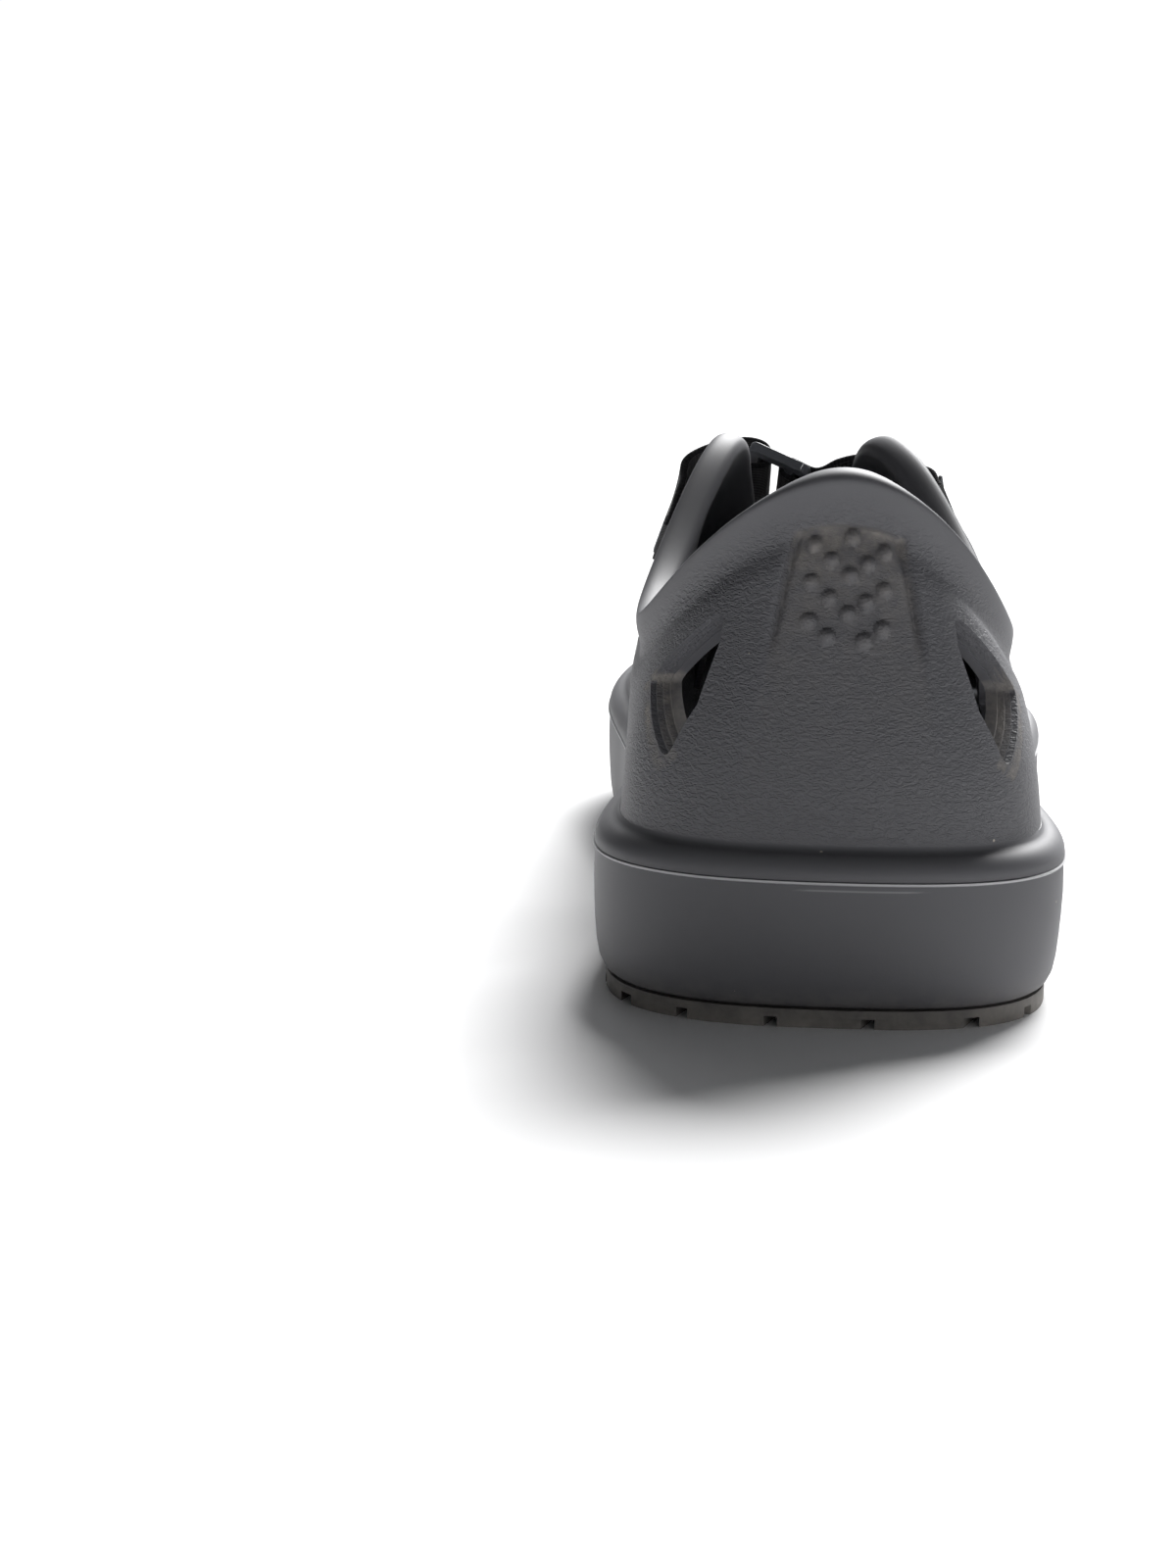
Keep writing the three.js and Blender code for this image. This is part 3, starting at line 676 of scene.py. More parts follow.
def block_faces(rings, columns):
    """Faces of a closed block of rings, with a centre point under the first and over the last."""
    faces = [tuple(f) for f in tube_faces(rings, columns)[:(rings - 1) * columns]]
    bottom = rings * columns
    last = (rings - 1) * columns
    for i in range(columns):
        j = (i + 1) % columns
        faces += [(bottom, j, i), (bottom + 1, last + i, last + j)]
    return faces


def add_block(name, rings, bottom_z, top_z, material):
    """A closed piece of stacked rings, with a centre point below and above."""
    rings = np.stack(rings)
    ends = np.array([[*SOLE_MIDDLE, bottom_z], [*SOLE_MIDDLE, top_z]])
    points = np.concatenate([rings.reshape(-1, 3), ends])
    piece = add_piece(name, points, block_faces(*rings.shape[:2]), material)
    face_outwards(piece.data)
    piece.data.set_sharp_from_angle(angle=math.radians(40))
    return piece


sole_columns = column_places(3.0, 1.2, 1.6)
cap_shares = (0.12, 0.3, 0.55, 0.8)
sole_rings = [ring_towards_middle(sole_columns, 4.2, share, 3.5) for share in cap_shares[::-1]]
sole_rings += [foot_point(sole_columns, np.full(sole_columns.shape, inset), z) for inset, z in SIDEWALL]
sole_rings += [ring_towards_middle(sole_columns, 0.6, share, 26.55) for share in cap_shares]
smooth_foam = eva_foam("eva_foam_smooth", grained=False)
midsole = add_block("midsole_block", sole_rings, 3.5, 26.55, smooth_foam)
place = foot_coordinates(midsole.data)
height = place[:, 2] - toe_lift(place[:, 1])
# Painted highlight: the flash line, and more faintly the second line behind the heel, are painted pale as if catching
# light from above.
flash_highlight = smooth_step(height, 25.9, 26.1) * smooth_step(-height, -26.54, -26.42)
behind_heel = smooth_step(place[:, 0], -8, -4) * smooth_step(-place[:, 0], -16, -12) * (place[:, 1] < 20)
second_flash_highlight = behind_heel * (1 - smooth_step(np.abs(height - SECOND_FLASH_Z), 0.05, 0.2))
paint(midsole.data, "dust", 0.3 * (1 - smooth_step(height, 4, 8)))
paint(midsole.data, "flash_highlight", np.clip(flash_highlight + 0.35 * second_flash_highlight, 0, 1))
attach(midsole, "clog")
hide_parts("midsole")

# ---- Footbed ----
# A cupped pad of softer foam with a thin needled textile over it. Both are laid in the shoe, on the midsole
# and inside the upper's wall.

FOOTBED_INSET = 9.5
FOOTBED_BOTTOM = 27.0
FOOTBED_LOW = 31.2
HEEL_CUP = 4.5
FOREFOOT_RIM = 1.5
COVER_THICKNESS = 1.2
FOOTBED_SHARES = (0.04, 0.1, 0.18, 0.27, 0.37, 0.5, 0.65, 0.82)


def footbed_top(share, y):
    cup = HEEL_CUP + (FOREFOOT_RIM - HEEL_CUP) * smooth_step(y, 70, 190)
    return FOOTBED_LOW + cup * (1 - smooth_step(share, 0, 0.55))


def footbed_ring(inset, share, extra):
    ring = ring_towards_middle(sole_columns, inset, share, 0)
    ring[..., 2] += footbed_top(share, ring[..., 1]) + extra
    return ring


def soft_foam():
    # Open-cell polyurethane foam: dark grey, matt and finely pitted.
    material, tree = start_material("polyurethane_foam")
    place = add_node(tree, "ShaderNodeTexCoord").outputs["Object"]
    cells = add_node(tree, "ShaderNodeTexVoronoi", {"Vector": place, "Scale": 1400.0})
    tone = add_node(tree, "ShaderNodeMix", {
        "Factor": cells.outputs["Distance"], 6: linear_colour("#3f4246"), 7: linear_colour("#55585c"),
    }, data_type="RGBA")
    pits = add_node(tree, "ShaderNodeBump", {"Height": cells.outputs["Distance"], "Strength": 0.6, "Distance": 0.0003})
    finish_material(tree, add_node(tree, "ShaderNodeBsdfPrincipled", {
        "Base Color": tone.outputs[2], "Roughness": 0.9, "IOR": 1.45, "Normal": pits.outputs[0]}))
    return material


def needled_textile():
    # Needle-punched polyester: dark blue-grey, matt, with short fibres lying every way.
    material, tree = start_material("needled_polyester")
    place = add_node(tree, "ShaderNodeTexCoord").outputs["Object"]
    fibres = add_node(tree, "ShaderNodeTexNoise", {
        "Vector": place, "Scale": 900.0, "Detail": 4.0, "Roughness": 0.75, "Distortion": 2.0})
    wear = add_node(tree, "ShaderNodeTexNoise", {"Vector": place, "Scale": 22.0, "Detail": 2.0})
    tone = add_node(tree, "ShaderNodeMix", {
        "Factor": fibres.outputs["Fac"], 6: linear_colour("#2b2e35"), 7: linear_colour("#5a5e68"),
    }, data_type="RGBA")
    pressed = add_node(tree, "ShaderNodeMix", {
        "Factor": wear.outputs["Fac"], 6: tone.outputs[2], 7: linear_colour("#3a3d44")}, data_type="RGBA")
    nap = add_node(tree, "ShaderNodeBump", {"Height": fibres.outputs["Fac"], "Strength": 0.8, "Distance": 0.0004})
    finish_material(tree, add_node(tree, "ShaderNodeBsdfPrincipled", {
        "Base Color": pressed.outputs[2], "Roughness": 0.95, "IOR": 1.45, "Sheen Weight": 0.3,
        "Sheen Roughness": 0.5, "Normal": nap.outputs[0]}))
    return material


rim_inset = FOOTBED_INSET + 1.8
foam_rings = [ring_towards_middle(sole_columns, FOOTBED_INSET, share, FOOTBED_BOTTOM) for share in (0.8, 0.5, 0.2)]
foam_rings += [foot_point(sole_columns, np.full(sole_columns.shape, FOOTBED_INSET + inset), FOOTBED_BOTTOM + z)
               for inset, z in ((0, 0), (0.1, 1.5), (0.3, 3.0))]
foam_rings += [footbed_ring(rim_inset - 0.5, 0, -0.9), footbed_ring(rim_inset, 0, 0)]
foam_rings += [footbed_ring(rim_inset, share, 0) for share in FOOTBED_SHARES]
footbed_foam = add_block("footbed_pad", foam_rings, FOOTBED_BOTTOM, FOOTBED_LOW, soft_foam())
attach(footbed_foam, "clog")
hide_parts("footbed_foam")

cover_rings = [footbed_ring(rim_inset, share, TOUCH_GAP) for share in (*FOOTBED_SHARES[::-1], 0)]
cover_rings += [footbed_ring(rim_inset - 0.1, 0, TOUCH_GAP + COVER_THICKNESS * 0.5)]
cover_rings += [footbed_ring(rim_inset + 0.2, share, TOUCH_GAP + COVER_THICKNESS) for share in (0, *FOOTBED_SHARES)]
cover_bottom = FOOTBED_LOW + TOUCH_GAP
cover = add_block("footbed_cover_cloth", cover_rings, cover_bottom, cover_bottom + COVER_THICKNESS, needled_textile())
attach(cover, "clog")
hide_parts("footbed_cover")

# ---- Treads ----
# Two solid rubber pieces bonded under the heel and the forefoot, each a thin plate with staggered slanted lugs.
# They sit in a little from the sidewall, and floor dust clings to their edges.


def worn_rubber():
    # Moulded nitrile rubber: dark, dull, scuffed paler where it meets the floor.
    material, tree = start_material("nitrile_rubber")
    place = add_node(tree, "ShaderNodeTexCoord").outputs["Object"]
    scuff = add_node(tree, "ShaderNodeTexNoise", {"Vector": place, "Scale": 160.0, "Detail": 5.0, "Roughness": 0.7})
    height = add_node(tree, "ShaderNodeSeparateXYZ", {0: place}).outputs["Z"]
    low_down = add_node(tree, "ShaderNodeMapRange", {
        "Value": height, "From Min": 0.0, "From Max": 0.0035, "To Min": 1.0, "To Max": 0.45}).outputs[0]
    dusty = add_node(tree, "ShaderNodeMath", {0: scuff.outputs["Fac"], 1: low_down}, operation="MULTIPLY")
    tone = add_node(tree, "ShaderNodeMix", {
        "Factor": dusty.outputs[0], 6: linear_colour("#3a3a3b"), 7: linear_colour("#a39d95"),
    }, data_type="RGBA")
    bump = add_node(tree, "ShaderNodeBump", {"Height": scuff.outputs["Fac"], "Strength": 0.4, "Distance": 0.0002})
    finish_material(tree, add_node(tree, "ShaderNodeBsdfPrincipled", {
        "Base Color": tone.outputs[2], "Roughness": 0.75, "IOR": 1.52, "Normal": bump.outputs[0]}))
    return material


def outline_reach(y, inset):
    """How far the outline, moved inwards, reaches to the inner and outer side at each y."""
    around = foot_point(np.linspace(0, len(STATIONS), 2001)[:-1], np.full(2000, inset), 0)
    order = np.argsort(around[:, 1])
    sides = [order[around[order, 0] < SOLE_MIDDLE[0]], order[around[order, 0] >= SOLE_MIDDLE[0]]]
    return [np.interp(y, around[side, 1], around[side, 0]) for side in sides]


def tread_block(start_y, end_y, bottom_z, top_z):
    """Points and faces of a slab under the sole, inside its outline."""
    y = np.linspace(start_y, end_y, 60)
    y[:12] = start_y + (y[11] - start_y) * np.linspace(0, 1, 12) ** 2
    left, right = outline_reach(y, TREAD_INSET)
    lift = toe_lift(y)
    points = np.stack([np.stack([x, y, z + lift], -1) for x, z in (
        (left, bottom_z), (right, bottom_z), (right, top_z), (left, top_z))], 1).reshape(-1, 3)
    faces = [(4 * i + k, 4 * i + (k + 1) % 4, 4 * i + 4 + (k + 1) % 4, 4 * i + 4 + k)
             for i in range(len(y) - 1) for k in range(4)]
    faces += [(0, 1, 2, 3), tuple(4 * len(y) - k for k in (1, 2, 3, 4))]
    return points, faces


def lug_tree():
    """Staggered rows of slanted lugs, cut to the block that the object holds. Millimetres."""
    tree = bpy.data.node_groups.new("slanted_lugs", "GeometryNodeTree")
    sockets = (("Block", "NodeSocketGeometry"), ("Rows", "NodeSocketInt"), ("Columns", "NodeSocketInt"),
               ("First Row", "NodeSocketFloat"), ("Row Pitch", "NodeSocketFloat"),
               ("Column Pitch", "NodeSocketFloat"), ("Gap", "NodeSocketFloat"), ("Depth", "NodeSocketFloat"),
               ("Slant", "NodeSocketFloat"), ("Rubber", "NodeSocketMaterial"))
    for name, kind in sockets:
        tree.interface.new_socket(name, in_out="INPUT", socket_type=kind)
    tree.interface.new_socket("Geometry", in_out="OUTPUT", socket_type="NodeSocketGeometry")
    given = add_node(tree, "NodeGroupInput").outputs

    def calculate(operation, a, b):
        return add_node(tree, "ShaderNodeMath", {0: a, 1: b}, operation=operation).outputs[0]

    size = add_node(tree, "ShaderNodeCombineXYZ", {
        "X": calculate("SUBTRACT", given["Column Pitch"], given["Gap"]),
        "Y": calculate("SUBTRACT", given["Row Pitch"], given["Gap"]), "Z": given["Depth"]})
    lug = add_node(tree, "GeometryNodeMeshCube", {"Size": size.outputs[0]})
    place = add_node(tree, "ShaderNodeSeparateXYZ", {0: add_node(tree, "GeometryNodeInputPosition").outputs[0]})
    lean = add_node(tree, "ShaderNodeCombineXYZ", {"X": calculate("MULTIPLY", place.outputs["Y"], given["Slant"])})
    slanted = add_node(tree, "GeometryNodeSetPosition", {"Geometry": lug.outputs["Mesh"], "Offset": lean.outputs[0]})
    length = calculate("MULTIPLY", calculate("SUBTRACT", given["Rows"], 1.0), given["Row Pitch"])
    width = calculate("MULTIPLY", calculate("SUBTRACT", given["Columns"], 1.0), given["Column Pitch"])
    grid = add_node(tree, "GeometryNodeMeshGrid", {
        "Size X": width, "Size Y": length, "Vertices X": given["Columns"], "Vertices Y": given["Rows"]})
    row = calculate("MODULO", add_node(tree, "GeometryNodeInputIndex").outputs[0], given["Rows"])
    half_step = calculate("MULTIPLY", given["Column Pitch"], 0.5)
    stagger = calculate("MULTIPLY", calculate("MODULO", row, 2.0), half_step)
    start = calculate("ADD", given["First Row"], calculate("MULTIPLY", length, 0.5))
    move = add_node(tree, "ShaderNodeCombineXYZ", {
        "X": stagger, "Y": start, "Z": calculate("MULTIPLY", given["Depth"], 0.5)})
    places = add_node(tree, "GeometryNodeSetPosition", {"Geometry": grid.outputs["Mesh"], "Offset": move.outputs[0]})
    copies = add_node(tree, "GeometryNodeInstanceOnPoints", {
        "Points": places.outputs[0], "Instance": slanted.outputs[0]})
    real = add_node(tree, "GeometryNodeRealizeInstances", {"Geometry": copies.outputs[0]})
    cut = add_node(tree, "GeometryNodeMeshBoolean", operation="INTERSECT", solver="EXACT")
    tree.links.new(given["Block"], cut.inputs["Mesh 2"])
    tree.links.new(real.outputs[0], cut.inputs["Mesh 2"])
    finished = add_node(tree, "GeometryNodeSetMaterial", {
        "Geometry": cut.outputs["Mesh"], "Material": given["Rubber"]})
    add_node(tree, "NodeGroupOutput", {0: finished.outputs[0]})
    return tree


def set_inputs(modifier, values):
    """Sets a Geometry Nodes modifier's inputs by their names in the tree."""
    for item in modifier.node_group.interface.items_tree:
        if item.item_type == "SOCKET" and item.in_out == "INPUT" and item.name in values:
            modifier[item.identifier] = values[item.name]


def make_tread(name, start_y, end_y, rows, first_row, tree, rubber):
    """Lugs from Geometry Nodes, lifted with the toe, joined to their plate."""
    points, faces = tread_block(start_y, end_y, -1, TREAD_PLATE_Z + 0.3)
    points[:, 2] -= toe_lift(points[:, 1])
    lugs = add_piece(name, points * 1000 + FOOTPRINT_CENTRE, faces, rubber)
    face_outwards(lugs.data)
    modifier = lugs.modifiers.new("lugs", "NODES")
    modifier.node_group = tree
    set_inputs(modifier, {
        "Rows": rows, "Columns": 9, "First Row": first_row, "Row Pitch": ROW_PITCH,
        "Column Pitch": COLUMN_PITCH, "Gap": LUG_GAP, "Depth": TREAD_PLATE_Z + 0.5, "Slant": 0.35,
        "Rubber": rubber})
    apply_modifiers(lugs)
    for vert in lugs.data.vertices:
        lift = toe_lift(vert.co.y)
        vert.co = (vert.co + Vector((0, 0, lift)) - Vector(FOOTPRINT_CENTRE)) / 1000
    plate = add_piece("plate", *tread_block(start_y, end_y, TREAD_PLATE_Z, TREAD_TOP_Z), rubber)
    face_outwards(plate.data)
    combine(lugs, plate, "UNION")
    face_outwards(lugs.data)
    bevel = lugs.modifiers.new("moulded_edges", "BEVEL")
    bevel.width = 0.0003
    bevel.segments = 2
    bevel.limit_method = "ANGLE"
    bevel.angle_limit = math.radians(35)
    apply_modifiers(lugs)
    lugs.data.shade_smooth()
    lugs.data.set_sharp_from_angle(angle=math.radians(30))
    return lugs


TREAD_INSET = 2.6
TREAD_PLATE_Z = 1.8
TREAD_TOP_Z = 3.3
ROW_PITCH = 15.0
COLUMN_PITCH = 17.0
LUG_GAP = 2.4
rubber = worn_rubber()
lug_rows = lug_tree()
TREADS = {"heel_tread": (1.2, 76, 5, 8.0), "forefoot_tread": (158, 291, 9, 165.0)}
for node, (start_y, end_y, rows, first_row) in TREADS.items():
    tread = make_tread(node + "_rubber", start_y, end_y, rows, first_row, lug_rows, rubber)
    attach(tread, "clog")
    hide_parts(node)

# ---- Webbing ----
# Flat woven polyester tape 20 mm wide. One length comes out of the outer slot, crosses the throat, passes
# round the buckle's middle bar and lies back over itself. A doubled loop from the inner slot holds the buckle.

STRAP_PATH = [
    (28.9, -47), (28.9, -41.5), (30.6, -37.2), (34.5, -36), (38.4, -35.9), (41, -34.2), (40.7, -29),
    (38.9, -22.5), (36.3, -16), (33.1, -10.6), (29.2, -6.2), (24.5, -3.2), (18, -1.6), (11, 0), (7, 0.1),
    (3.4, -1.9), (0.5, -4.6),
]
LOOP_PATH = [
    (-26.2, -45), (-26.2, -39.5), (-27.6, -35.4), (-30.6, -34), (-33.8, -33.9), (-35.8, -32.4), (-35.7, -28),
    (-35.1, -20), (-34.2, -13), (-32.6, -7.6), (-29.5, -3.6), (-25, -1.6), (-20.5, -0.6), (-17.4, -0.65),
    (-14.5, -0.6), (-12.4, -0.15), (-11.6, 1.1), (-11.6, 3), (-12.6, 4.5), (-15, 5.4), (-18.5, 5.4),
    (-23.5, 4.1), (-28.5, 1.5), (-32.7, -2.9), (-34.6, -8), (-35.7, -12.6), (-36.35, -15.2),
]
TAIL_PATH = [
    (-0.9, -5.6), (-3.8, -5.1), (-8.4, -2.95), (-9.25, -1.6), (-8.9, -0.4), (-8, 0.62), (-6.5, 0.9),
    (-2.2, -1.2), (0.4, -0.9), (3.5, 0.9), (8, 2.1), (13, 2), (18, 0.7), (24.7, -0.9), (31, -4.3),
]


def smooth_path(points, spacing):
    """Even steps along a Catmull-Rom curve through the points."""
    points = np.array(points, float)
    ends = np.concatenate([[2 * points[0] - points[1]], points, [2 * points[-1] - points[-2]]])
    t = np.linspace(0, 1, 24, endpoint=False)[:, None]
    pieces = []
    for a, b, c, d in zip(ends, ends[1:], ends[2:], ends[3:]):
        pieces.append(0.5 * (2 * b + (c - a) * t + (2 * a - 5 * b + 4 * c - d) * t ** 2
                             + (3 * b - a - 3 * c + d) * t ** 3))
    curve = np.concatenate([*pieces, points[-1:]])
    run = np.concatenate([[0], np.cumsum(np.linalg.norm(np.diff(curve, axis=0), axis=1))])
    even = np.linspace(0, run[-1], int(run[-1] / spacing) + 1)
    return np.stack([np.interp(even, run, curve[:, k]) for k in (0, 1)], -1), even


def lie_on_foot(across, outward, along):
    """Slides the webbing in against the quarter, which leans in towards the ankle, most of all near its top."""
    behind = (STRAP_WIDTH / 2 - along) / STRAP_WIDTH
    low_down = 1 - smooth_step(outward, -5, 2)
    higher = smooth_step(outward, -26, -9)
    outer = np.clip(across / 30, 0, 1) * -(0.6 + (5.0 + 0.6 * higher) * behind)
    inner = np.clip(-across / 30, 0, 1) * (0.4 + (1.75 + 1.5 * higher) * behind)
    return across + (outer + inner) * low_down


def webbing(name, path, material):
    centre, run = smooth_path(path, 0.55)
    tangent = unit(np.gradient(centre, axis=0))
    side = np.stack([-tangent[:, 1], tangent[:, 0]], -1)
    half_width, half = STRAP_WIDTH / 2, STRAP_THICKNESS / 2
    flat = np.linspace(-half_width + half, half_width - half, 15)
    bend = np.radians(np.linspace(-60, 60, 5))
    section = [(w, half) for w in flat] + [(half_width - half + half * math.cos(t), half * math.sin(-t)) for t in bend]
    section += [(w, -half) for w in flat[::-1]]
    section += [(-half_width + half - half * math.cos(t), half * math.sin(t)) for t in bend]
    section = np.array(section)
    points = np.empty((len(centre), len(section), 3))
    weave = np.empty((len(centre), len(section), 3))
    for k, (along, lift) in enumerate(section):
        flat_place = centre + side * lift
        across = lie_on_foot(flat_place[:, 0], flat_place[:, 1], along)
        points[:, k] = (STRAP_ORIGIN + across[:, None] * ACROSS + flat_place[:, 1:2] * OUTWARD + along * ALONG)
        weave[:, k] = np.stack([run, np.full(len(run), along), np.full(len(run), lift)], -1)
    count = len(section)
    faces = [tuple(int(i) for i in f) for f in tube_faces(len(centre), count)[:(len(centre) - 1) * count]]
    faces += [tuple(range(count)), tuple(range((len(centre) - 1) * count, len(centre) * count))[::-1]]
    piece = add_piece(name, points, faces, material)
    layer = piece.data.attributes.new("weave", "FLOAT_VECTOR", "POINT")
    layer.data.foreach_set("vector", weave.reshape(-1).astype(np.float32))
    face_outwards(piece.data)
    piece.data.set_sharp_from_angle(angle=math.radians(50))
    return piece


def woven_tape():
    # Black polyester webbing, plain woven from thick yarn: matt, with ribs 1.2 mm apart and lint on it.
    material, tree = start_material("woven_polyester")
    place = add_node(tree, "ShaderNodeAttribute", attribute_name="weave").outputs["Vector"]
    split = add_node(tree, "ShaderNodeSeparateXYZ", {0: place})
    turns_per_mm = 2 * math.pi / 1.2
    slant = {}
    for name, sign in (("left", 1.0), ("right", -1.0)):
        across = add_node(tree, "ShaderNodeMath", {0: split.outputs["Y"], 1: sign, 2: split.outputs["X"]},
                          operation="MULTIPLY_ADD")
        angle = add_node(tree, "ShaderNodeMath", {0: across.outputs[0], 1: turns_per_mm * 0.7}, operation="MULTIPLY")
        slant[name] = add_node(tree, "ShaderNodeMath", {0: angle.outputs[0]}, operation="SINE").outputs[0]
    yarn = add_node(tree, "ShaderNodeMath", {0: slant["left"], 1: slant["right"]}, operation="MULTIPLY").outputs[0]
    height = add_node(tree, "ShaderNodeMapRange", {
        "Value": yarn, "From Min": -1.0, "From Max": 1.0}).outputs[0]
    lint = add_node(tree, "ShaderNodeTexNoise", {"Vector": place, "Scale": 1.7, "Detail": 4.0, "Roughness": 0.8})
    light = add_node(tree, "ShaderNodeMapRange", {
        "Value": lint.outputs["Fac"], "From Min": 0.5, "From Max": 0.85, "To Min": 0.0, "To Max": 0.5}).outputs[0]
    tone = add_node(tree, "ShaderNodeMix", {
        "Factor": height, 6: linear_colour("#0b0b0d"), 7: linear_colour("#1d1d20")}, data_type="RGBA")
    linty = add_node(tree, "ShaderNodeMix", {
        "Factor": light, 6: tone.outputs[2], 7: linear_colour("#3b3a3a")}, data_type="RGBA")
    bump = add_node(tree, "ShaderNodeBump", {"Height": height, "Strength": 0.8, "Distance": 0.0002})
    finish_material(tree, add_node(tree, "ShaderNodeBsdfPrincipled", {
        "Base Color": linty.outputs[2], "Roughness": 0.85, "IOR": 1.45, "Specular IOR Level": 0.3,
        "Sheen Weight": 0.15, "Sheen Roughness": 0.5, "Normal": bump.outputs[0]}))
    return material


tape = woven_tape()
strap = webbing("instep_strap_webbing", STRAP_PATH, tape)
tail = webbing("strap_tail_webbing", TAIL_PATH, tape)
loop = webbing("anchor_loop_webbing", LOOP_PATH, tape)
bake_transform(strap)
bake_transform(tail)
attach(loop, "clog")
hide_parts("instep_strap")
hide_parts("strap_tail")
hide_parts("medial_anchor_loop")

# ---- Buckle ----
# A ladder buckle injection-moulded in grey acetal: two side rails, a hinge bar held by the loop, and two
# thinner bars that the strap runs round. All its edges are rounded off.

BUCKLE_SLOPE = math.radians(25)
HINGE_BAR = (-14.5, 2.2)
BUCKLE_THICKNESS = 2.2
BUCKLE_ENDS = (-1.4, 12.8)
BUCKLE_HALF_WIDTH = 13.5
BUCKLE_GAPS = [(1.2, 7.4), (9.4, 11.0)]
BUCKLE_GAP_HALF_WIDTH = 10.65


def buckle_point(down, along, above):
    across = HINGE_BAR[0] + down * math.cos(BUCKLE_SLOPE) + above * math.sin(BUCKLE_SLOPE)
    outward = HINGE_BAR[1] - down * math.sin(BUCKLE_SLOPE) + above * math.cos(BUCKLE_SLOPE)
    return strap_point(across, outward, along)


def moulded_acetal():
    # Acetal, injection moulded: mid grey, smooth and slightly glossy, with fine scratches.
    material, tree = start_material("moulded_acetal")
    place = add_node(tree, "ShaderNodeTexCoord").outputs["Object"]
    flow = add_node(tree, "ShaderNodeTexNoise", {"Vector": place, "Scale": 120.0, "Detail": 3.0})
    tone = add_node(tree, "ShaderNodeMix", {
        "Factor": flow.outputs["Fac"], 6: linear_colour("#5d5f64"), 7: linear_colour("#6e7075")}, data_type="RGBA")
    stretch = add_node(tree, "ShaderNodeMapping", {"Vector": place, "Scale": (1.0, 9.0, 9.0)})
    scratches = add_node(tree, "ShaderNodeTexNoise", {"Vector": stretch.outputs[0], "Scale": 500.0, "Detail": 3.0})
    shine = add_node(tree, "ShaderNodeMapRange", {
        "Value": scratches.outputs["Fac"], "From Min": 0.3, "From Max": 0.7, "To Min": 0.28, "To Max": 0.45})
    bump = add_node(tree, "ShaderNodeBump", {
        "Height": scratches.outputs["Fac"], "Strength": 0.2, "Distance": 0.00005})
    finish_material(tree, add_node(tree, "ShaderNodeBsdfPrincipled", {
        "Base Color": tone.outputs[2], "Roughness": shine.outputs[0], "IOR": 1.48, "Normal": bump.outputs[0]}))
    return material


def make_buckle():
    edges_down = [BUCKLE_ENDS[0], *BUCKLE_GAPS[0], *BUCKLE_GAPS[1], BUCKLE_ENDS[1]]
    edges_along = [-BUCKLE_HALF_WIDTH, -BUCKLE_GAP_HALF_WIDTH, BUCKLE_GAP_HALF_WIDTH, BUCKLE_HALF_WIDTH]
    edit = bmesh.new()
    corner = {}
    for i, down in enumerate(edges_down):
        for j, along in enumerate(edges_along):
            corner[i, j] = edit.verts.new((down, along, -BUCKLE_THICKNESS / 2))
    for i in range(len(edges_down) - 1):
        for j in range(len(edges_along) - 1):
            if not (j == 1 and i in (1, 3)):
                edit.faces.new([corner[i, j], corner[i + 1, j], corner[i + 1, j + 1], corner[i, j + 1]])
    made = bmesh.ops.extrude_face_region(edit, geom=edit.faces[:])
    bmesh.ops.translate(edit, vec=(0, 0, BUCKLE_THICKNESS), verts=[v for v in made["geom"]
                                                                  if isinstance(v, bmesh.types.BMVert)])
    bmesh.ops.recalc_face_normals(edit, faces=edit.faces)
    outer = [e for e in edit.edges if abs(e.verts[0].co.z - e.verts[1].co.z) > 1
             and abs(abs(e.verts[0].co.y) - BUCKLE_HALF_WIDTH) < 0.01
             and min(abs(e.verts[0].co.x - x) for x in BUCKLE_ENDS) < 0.01]
    bmesh.ops.bevel(edit, geom=outer, offset=2.0, segments=6, affect="EDGES", profile=0.5)
    sharp = [e for e in edit.edges if e.calc_face_angle(0) > math.radians(60)]
    bmesh.ops.bevel(edit, geom=sharp, offset=0.55, segments=4, affect="EDGES", profile=0.5, clamp_overlap=True)
    for vert in edit.verts:
        vert.co = Vector((buckle_point(*vert.co) - FOOTPRINT_CENTRE) / 1000)
    bmesh.ops.recalc_face_normals(edit, faces=edit.faces)
    mesh = bpy.data.meshes.new("buckle_ladder")
    edit.to_mesh(mesh)
    edit.free()
    buckle = bpy.data.objects.new("buckle_ladder", mesh)
    bpy.context.collection.objects.link(buckle)
    mesh.materials.append(moulded_acetal())
    mesh.shade_smooth()
    return buckle


buckle = make_buckle()
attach(buckle, "buckle")
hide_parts("buckle_frame")

# ---- Bar tacks ----
# Short dense rows of polyester thread sewn across the webbing, to hold the loop's folded end, the hem of
# the strap's free end and the strap's inner end.

TACK_LENGTH = 17
STITCH_PITCH = 0.75


def sewing_thread():
    # Bonded polyester thread: mid grey, twisted, with a slight sheen.
    material, tree = start_material("polyester_thread")
    place = add_node(tree, "ShaderNodeTexCoord").outputs["Object"]
    twist = add_node(tree, "ShaderNodeTexNoise", {"Vector": place, "Scale": 2500.0, "Detail": 2.0})
    tone = add_node(tree, "ShaderNodeMix", {
        "Factor": twist.outputs["Fac"], 6: linear_colour("#35363a"), 7: linear_colour("#6d6f74")}, data_type="RGBA")
    bump = add_node(tree, "ShaderNodeBump", {"Height": twist.outputs["Fac"], "Strength": 0.5, "Distance": 0.0001})
    finish_material(tree, add_node(tree, "ShaderNodeBsdfPrincipled", {
        "Base Color": tone.outputs[2], "Roughness": 0.6, "IOR": 1.5, "Normal": bump.outputs[0]}))
    return material


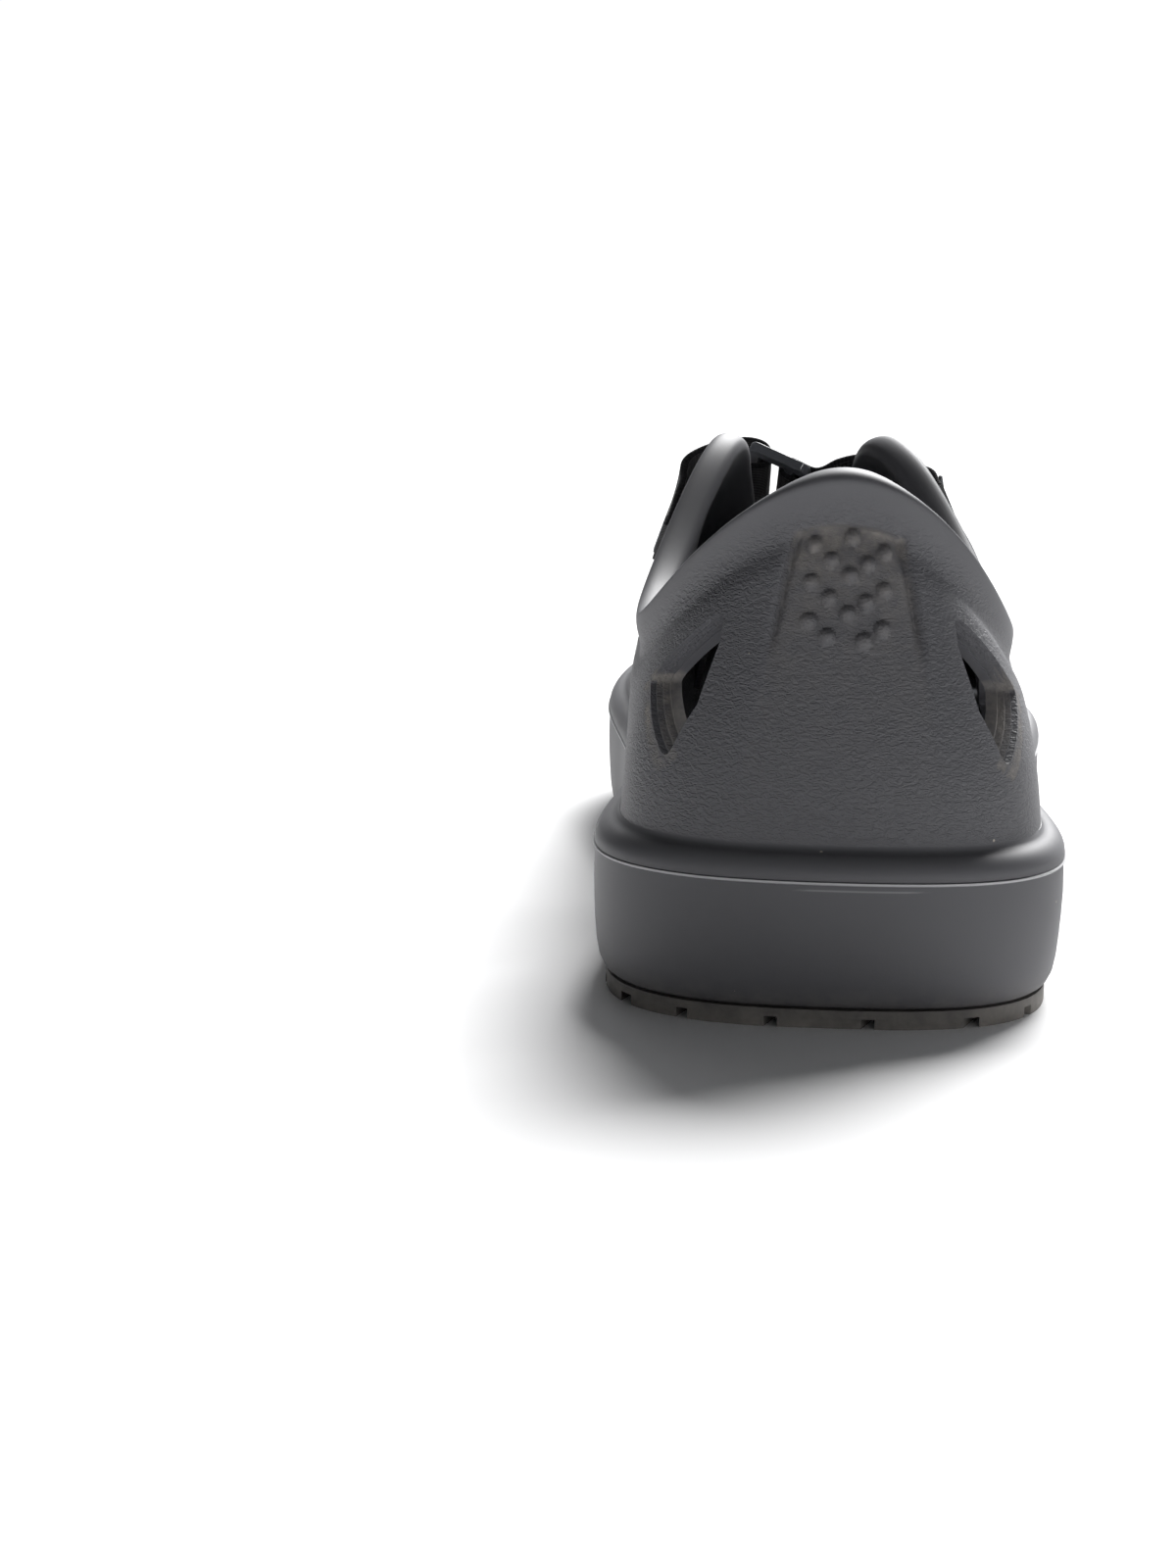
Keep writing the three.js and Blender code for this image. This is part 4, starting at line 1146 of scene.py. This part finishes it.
def stitch_tree(thread):
    """A row of slanted stitches along X, with every other one slanted back."""
    tree = bpy.data.node_groups.new("bar_tack_stitches", "GeometryNodeTree")
    sockets = (("Stitches", "NodeSocketInt"), ("Pitch", "NodeSocketFloat"), ("Stitch Length", "NodeSocketFloat"),
               ("Thread Radius", "NodeSocketFloat"), ("Slant", "NodeSocketFloat"))
    for name, kind in sockets:
        tree.interface.new_socket(name, in_out="INPUT", socket_type=kind)
    tree.interface.new_socket("Geometry", in_out="OUTPUT", socket_type="NodeSocketGeometry")
    given = add_node(tree, "NodeGroupInput").outputs
    step = add_node(tree, "ShaderNodeCombineXYZ", {"X": given["Pitch"]})
    row = add_node(tree, "GeometryNodeMeshLine", {"Count": given["Stitches"], "Offset": step.outputs[0]})
    stitch = add_node(tree, "GeometryNodeMeshUVSphere", {"Segments": 8, "Rings": 7, "Radius": given["Thread Radius"]})
    longer = add_node(tree, "ShaderNodeMath", {0: given["Stitch Length"], 1: given["Thread Radius"]},
                      operation="DIVIDE")
    scale = add_node(tree, "ShaderNodeCombineXYZ", {"X": 1.0, "Y": longer.outputs[0], "Z": 1.0})
    number = add_node(tree, "GeometryNodeInputIndex")
    parity = add_node(tree, "ShaderNodeMath", {0: number.outputs[0], 1: 2.0}, operation="MODULO")
    sign = add_node(tree, "ShaderNodeMath", {0: parity.outputs[0], 1: -2.0, 2: 1.0}, operation="MULTIPLY_ADD")
    turn = add_node(tree, "ShaderNodeMath", {0: sign.outputs[0], 1: given["Slant"]}, operation="MULTIPLY")
    rotation = add_node(tree, "ShaderNodeCombineXYZ", {"Z": turn.outputs[0]})
    copies = add_node(tree, "GeometryNodeInstanceOnPoints", {
        "Points": row.outputs["Mesh"], "Instance": stitch.outputs["Mesh"], "Rotation": rotation.outputs[0],
        "Scale": scale.outputs[0]})
    real = add_node(tree, "GeometryNodeRealizeInstances", {"Geometry": copies.outputs[0]})
    finished = add_node(tree, "GeometryNodeSetMaterial", {"Geometry": real.outputs[0], "Material": thread})
    add_node(tree, "NodeGroupOutput", {0: finished.outputs[0]})
    return tree


def bar_tack(name, tree, thread, start, end):
    """Stitches across the webbing, between two points of its face given across and outward."""
    mesh = bpy.data.meshes.new(name)
    piece = bpy.data.objects.new(name, mesh)
    bpy.context.collection.objects.link(piece)
    reach = math.dist(start, end)
    modifier = piece.modifiers.new("stitches", "NODES")
    modifier.node_group = tree
    count = int(TACK_LENGTH / STITCH_PITCH)
    set_inputs(modifier, {"Stitches": count, "Pitch": STITCH_PITCH, "Stitch Length": reach / 2,
                          "Thread Radius": 0.28, "Slant": 0.3})
    apply_modifiers(piece)
    if not piece.data.materials:
        piece.data.materials.append(thread)
    up = np.subtract(end, start) / reach
    middle = np.add(start, end) / 2
    for vert in piece.data.vertices:
        along = vert.co.x - (count - 1) * STITCH_PITCH / 2
        flat = middle + up * vert.co.y + np.array([-up[1], up[0]]) * vert.co.z
        across = lie_on_foot(flat[0], flat[1], along)
        vert.co = Vector((strap_point(across, flat[1], along) - FOOTPRINT_CENTRE) / 1000)
    face_outwards(piece.data)
    piece.data.shade_smooth()
    return piece


thread = sewing_thread()
stitches = stitch_tree(thread)
TACKS = {
    "strap_bar_tack": ((27.75, -45.5), (27.75, -43.0)),
    "loop_bar_tack": ((-36.95, -14.5), (-36.35, -12.0)),
    "tail_bar_tack": ((27.3, -1.0), (29.4, -2.2)),
}
for node, (start, end) in TACKS.items():
    tack = bar_tack(node + "_stitches", stitches, thread, start, end)
    if node == "tail_bar_tack":
        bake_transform(tack)
    else:
        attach(tack, "clog")
    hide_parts(node)
